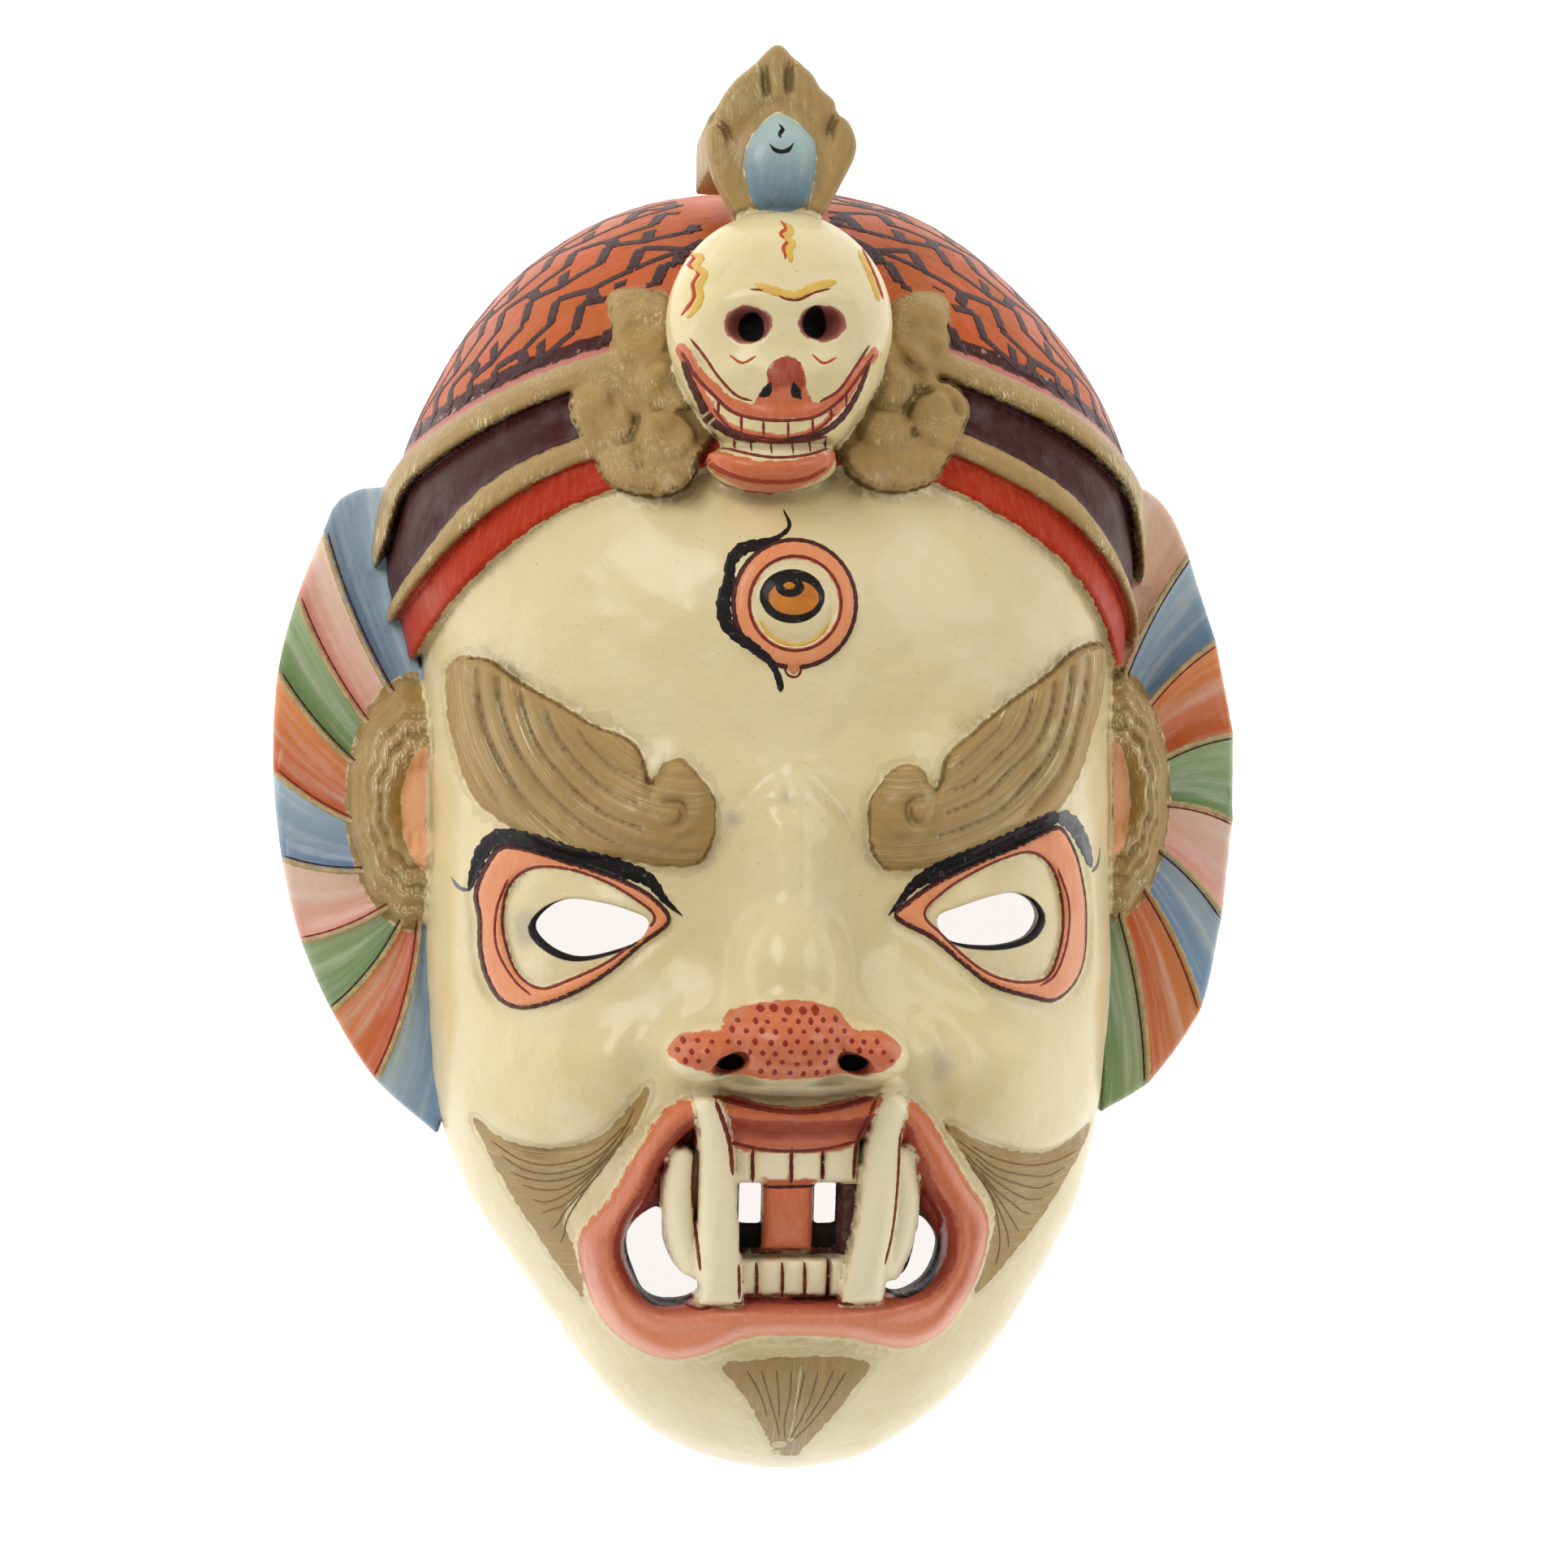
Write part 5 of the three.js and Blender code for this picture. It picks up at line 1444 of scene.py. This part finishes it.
def mask_material():
    s = Shader("painted_wood", 0.42, 0.4, 0.2)
    place = s.node("ShaderNodeTexCoord").outputs["Object"]
    grain = s.attribute("grain", "Vector")
    broad = s.noise(place, 18, 3)
    cloudy = s.noise(place, 55, 4, 0.6)
    fine = s.noise(place, 420, 4, 0.6)
    brush = s.noise(s.stretch(grain, (1.0, 0.16, 1.0)), 0.55, 4, 0.6)
    streak = s.noise(s.stretch(grain, (1.0, 0.10, 1.0)), 1.6, 3, 0.6)
    wobble = s.ramp(s.noise(place, 260, 2), 0.3, 0.7, -0.35, 0.35)

    def edge(name, softness=0.22):
        value = s.calc("ADD", s.attribute(name), wobble)
        return s.ramp(value, -softness, softness)

    cream = s.mix(s.ramp(broad, 0.35, 0.65), linear("cream"), (0.77, 0.63, 0.32))
    cream = s.mix(s.ramp(cloudy, 0.5, 0.8, 0, 0.5), cream, (0.86, 0.78, 0.56))
    specks = s.ramp(s.noise(place, 800, 2, 0.5), 0.70, 0.75, 0, 0.55)
    cream = s.mix(specks, cream, (0.45, 0.33, 0.18))

    band = s.attribute("band")
    band = s.calc("ADD", band, wobble)
    helmet = linear("cream")
    worn = s.ramp(s.noise(place, 240, 4, 0.7), 0.56, 0.66)
    orange = s.mix(s.ramp(cloudy, 0.3, 0.7), linear("orange"), (0.50, 0.12, 0.03))
    red = s.mix(s.ramp(brush, 0.35, 0.7), linear("red"), (0.50, 0.06, 0.025))
    maroon = s.mix(s.ramp(cloudy, 0.5, 0.75, 0, 0.6), linear("maroon"), (0.13, 0.085, 0.09))
    worn_maroon = s.mix(worn, linear("maroon"), (0.42, 0.26, 0.20))

    # painted glints: paler gold in streaks on sharp edges, standing for the shine of the gold paint
    painted_glint = s.calc("MULTIPLY", s.ramp(streak, 0.50, 0.64), s.ramp(cloudy, 0.44, 0.56))
    painted_glint = s.calc("MULTIPLY", painted_glint, s.ramp(s.attribute("sharp"), 0.04, 0.3, 0.25, 1))
    gold = s.mix(s.ramp(brush, 0.25, 0.75, 0, 0.7), linear("gold"), (0.33, 0.23, 0.10))
    gold = s.mix(s.ramp(cloudy, 0.5, 0.75, 0, 0.5), gold, (0.46, 0.35, 0.17))
    # gold is darker deep in its grooves: dirt and painted shade
    gold = s.mix(s.ramp(s.attribute("hollow"), 0.1, 0.55, 0, 0.6), gold, (0.19, 0.125, 0.05))
    gold = s.mix(painted_glint, gold, (0.80, 0.68, 0.42))

    for start, colour in (
            (RED_FROM, red), (RED_TO, gold), (MAROON_FROM, maroon), (MAROON_TO, gold),
            (GOLD_TO, (0.50, 0.16, 0.12)), (PINK_TO, worn_maroon), (WORN_TO, orange)):
        helmet = s.mix(s.ramp(band, start - 0.3, start + 0.3), helmet, colour)

    tint = s.attribute("paint", "Color")
    pale = s.mix(0.4, tint, (0.92, 0.88, 0.78))
    streaky = s.ramp(s.attribute("fan"), -0.5, 0.5, 0.15, 0.75)
    tint = s.mix(s.calc("MULTIPLY", s.ramp(brush, 0.42, 0.72), streaky), tint, pale)
    # painted shade round the mouth's inner edges
    tint = s.mix(s.ramp(s.attribute("rosy"), 0.1, 1, 0, 0.7), tint, linear("lip_edge"))

    wood = s.mix(s.ramp(s.noise(s.stretch(place, (1, 0.08, 1)), 320, 4), 0.35, 0.7),
                 linear("wood"), (0.17, 0.10, 0.055))
    wood = s.mix(s.ramp(cloudy, 0.4, 0.7, 0, 0.6), wood, (0.12, 0.07, 0.04))

    helmet_on = s.calc("MULTIPLY", edge("helmet"), s.ramp(band, RED_FROM - 0.3, RED_FROM + 0.3))
    colour = s.mix(helmet_on, cream, helmet)
    colour = s.mix(edge("tint"), colour, tint)
    colour = s.mix(edge("gold"), colour, gold)
    # grey marks, and the painted shadow under the nose, darken the colour
    smudge = s.calc("MULTIPLY", s.attribute("smudge"), s.ramp(cloudy, 0.3, 0.7, 0.4, 1))
    colour = s.mix(s.ramp(smudge, 0.1, 1, 0, 0.55), colour, (0.30, 0.27, 0.22))
    # hollows and creases darken towards a brown: dirt and painted shade, less on the tinted paint
    dirt_and_shade = s.ramp(s.attribute("hollow"), 0.08, 0.6)
    dirt_and_shade = s.calc("MULTIPLY", dirt_and_shade, s.ramp(cloudy, 0.3, 0.65, 0.35, 1))
    dirt_and_shade = s.calc("MULTIPLY", dirt_and_shade, s.ramp(s.attribute("tint"), -0.5, 0.5, 0.8, 0.4))
    colour = s.mix(dirt_and_shade, colour, s.mix(0.5, colour, linear("dirt_and_shade"), "MULTIPLY"))
    chips = s.calc("MULTIPLY", s.ramp(s.attribute("sharp"), 0.4, 0.7), s.ramp(fine, 0.62, 0.68))
    colour = s.mix(s.calc("MULTIPLY", chips, 0.6), colour, (0.70, 0.60, 0.42))
    colour = s.mix(s.ramp(s.attribute("black"), -0.25, 0.25), colour, linear("black"))
    wooden = edge("wood", 0.5)
    colour = s.mix(wooden, colour, wood)
    s.feed(s.bsdf.inputs["Base Color"], colour)
    dull = s.calc("ADD", s.calc("MULTIPLY", edge("gold"), 0.16), s.calc("MULTIPLY", wooden, 0.3))
    s.feed(s.bsdf.inputs["Roughness"], s.calc("ADD", s.ramp(cloudy, 0.3, 0.7, 0.3, 0.48), dull))
    dull = s.calc("ADD", dull, s.calc("MULTIPLY", helmet_on, 0.22))
    dull = s.calc("ADD", dull, s.calc("MULTIPLY", edge("tint"), 0.08))
    dull = s.calc("ADD", dull, s.calc("MULTIPLY", edge("black"), 0.25))
    varnish = s.calc("SUBTRACT", s.ramp(broad, 0.3, 0.6, 0.35, 0.6), s.calc("MULTIPLY", dull, 2.0), True)
    s.feed(s.bsdf.inputs["Coat Weight"], varnish)
    height = s.calc("MULTIPLY", s.noise(place, 130, 3), 1.1)
    height = s.calc("ADD", height, s.calc("MULTIPLY", fine, 0.2))
    height = s.calc("ADD", height, s.calc("MULTIPLY", brush, 0.25))
    s.bump(height, 0.0012, 0.6)
    return s.material


def stroke_material(name, factor, chips):
    """Brushed paint that thins and wears in places."""
    s = Shader("paint_" + name, 0.45, 0.12)
    place = s.node("ShaderNodeTexCoord").outputs["Object"]
    patches = np.clip(linear(name) * factor, 0, 1)
    colour = s.mix(s.ramp(s.noise(place, 240, 4), 0.35, 0.7), linear(name), patches)
    if chips:
        worn = s.ramp(s.noise(place, 520, 4, 0.7), 0.60, 0.68, 0, chips)
        colour = s.mix(worn, colour, (0.42, 0.38, 0.34))
    s.feed(s.bsdf.inputs["Base Color"], colour)
    s.bump(s.noise(place, 500, 3), 0.0004, 0.4)
    return s.material


# for each colour of stroke: how bright its darker patches are, and how much of it has chipped off
STROKE_LOOKS = {
    "black": (1.5, 0.25), "grey": (0.6, 0.4), "dark_line": (0.7, 0.2), "line": (0.75, 0.15),
    "yellow": (0.85, 0), "lip_edge": (0.8, 0), "spot": (0.8, 0), "ridge_line_and_highlight": (0.7, 0.2),
    "lattice": (1.5, 0.2), "strand": (0.8, 0), "eye_ring": (0.85, 0), "crack": (0.8, 0),
    "iris": (0.8, 0.1), "pale": (0.85, 0)}

mask.data.materials.append(mask_material())
pieces = [mask]
for name, (points, faces) in STROKES.items():
    laid = new_mesh("strokes_" + name, np.array(points), np.array(faces))
    laid.data.materials.append(stroke_material(name, *STROKE_LOOKS[name]))
    laid.data.shade_smooth()
    pieces.append(laid)
for piece in pieces:
    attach(piece, "root")
    print(piece.name, len(piece.data.polygons))
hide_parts("mask")

# ---- floor, light, camera ------------------------------------------------------------------
# focus is the focal length in picture widths, and aim the place looked at across and up
CAMERA = {"swing": 4.2, "distance": 1700.0, "aim": (4.7, 90), "focus": 3.38406, "sensor": 36}
FLOOR_HALF = 6.0
FLOOR_GLOW = 0.85
SKY = 0.34
LIGHTS = [  # name, place, size in metres and power in watts
    ("softbox_left", (-0.95, 0.75, 1.15), (0.7, 0.9), 12),
    ("softbox_right", (1.15, 0.55, 1.05), (0.8, 0.9), 7),
    ("softbox_low", (0.1, -1.5, 0.9), (1.2, 0.6), 3.5)]


def add_floor():
    mesh = bpy.data.meshes.new("floor")
    h = FLOOR_HALF
    mesh.from_pydata([(-h, -h, 0), (h, -h, 0), (h, h, 0), (-h, h, 0)], [], [(0, 1, 2, 3)])
    floor = bpy.data.objects.new("floor", mesh)
    bpy.context.scene.collection.objects.link(floor)
    s = Shader("floor_card", 0.9, 0.0)
    place = s.node("ShaderNodeTexCoord").outputs["Object"]
    card = s.mix(s.noise(place, 3, 2), (0.90, 0.90, 0.895), (0.93, 0.93, 0.925))
    s.feed(s.bsdf.inputs["Base Color"], card)
    s.bsdf.inputs["Emission Color"].default_value = (1, 1, 1, 1)
    s.bsdf.inputs["Emission Strength"].default_value = FLOOR_GLOW
    mesh.materials.append(s.material)


def add_light(name, place, size, power):
    lamp = bpy.data.lights.new(name, "AREA")
    lamp.shape = "RECTANGLE"
    lamp.size, lamp.size_y = size
    lamp.energy = power
    light = bpy.data.objects.new(name, lamp)
    bpy.context.scene.collection.objects.link(light)
    light.location = place
    aim = Vector((0, 0, 0.09)) - light.location
    light.rotation_euler = aim.to_track_quat("-Z", "Y").to_euler()


def add_camera():
    """Looks straight down on the lying mask, from a little to the viewer's left."""
    swing = math.radians(CAMERA["swing"])
    lens = bpy.data.cameras.new("camera")
    lens.sensor_width = CAMERA["sensor"]
    lens.lens = CAMERA["focus"] * CAMERA["sensor"]
    camera = bpy.data.objects.new("camera", lens)
    bpy.context.scene.collection.objects.link(camera)
    away, (aim_x, aim_z) = CAMERA["distance"], CAMERA["aim"]
    at = np.array([aim_x - away * math.sin(swing), 0, aim_z + away * math.cos(swing)])
    camera.location = ((at - SHIFT) * MM).tolist()
    camera.rotation_euler = (0, -swing, 0)
    bpy.context.scene.camera = camera


def add_world():
    world = bpy.data.worlds.new("studio")
    world.use_nodes = True
    sky = world.node_tree.nodes["Background"]
    sky.inputs["Color"].default_value = (1, 1, 1, 1)
    sky.inputs["Strength"].default_value = SKY
    bpy.context.scene.world = world
    bpy.context.scene.view_settings.view_transform = "Standard"


add_floor()
for light in LIGHTS:
    add_light(*light)
add_world()
add_camera()

bpy.context.view_layer.update()
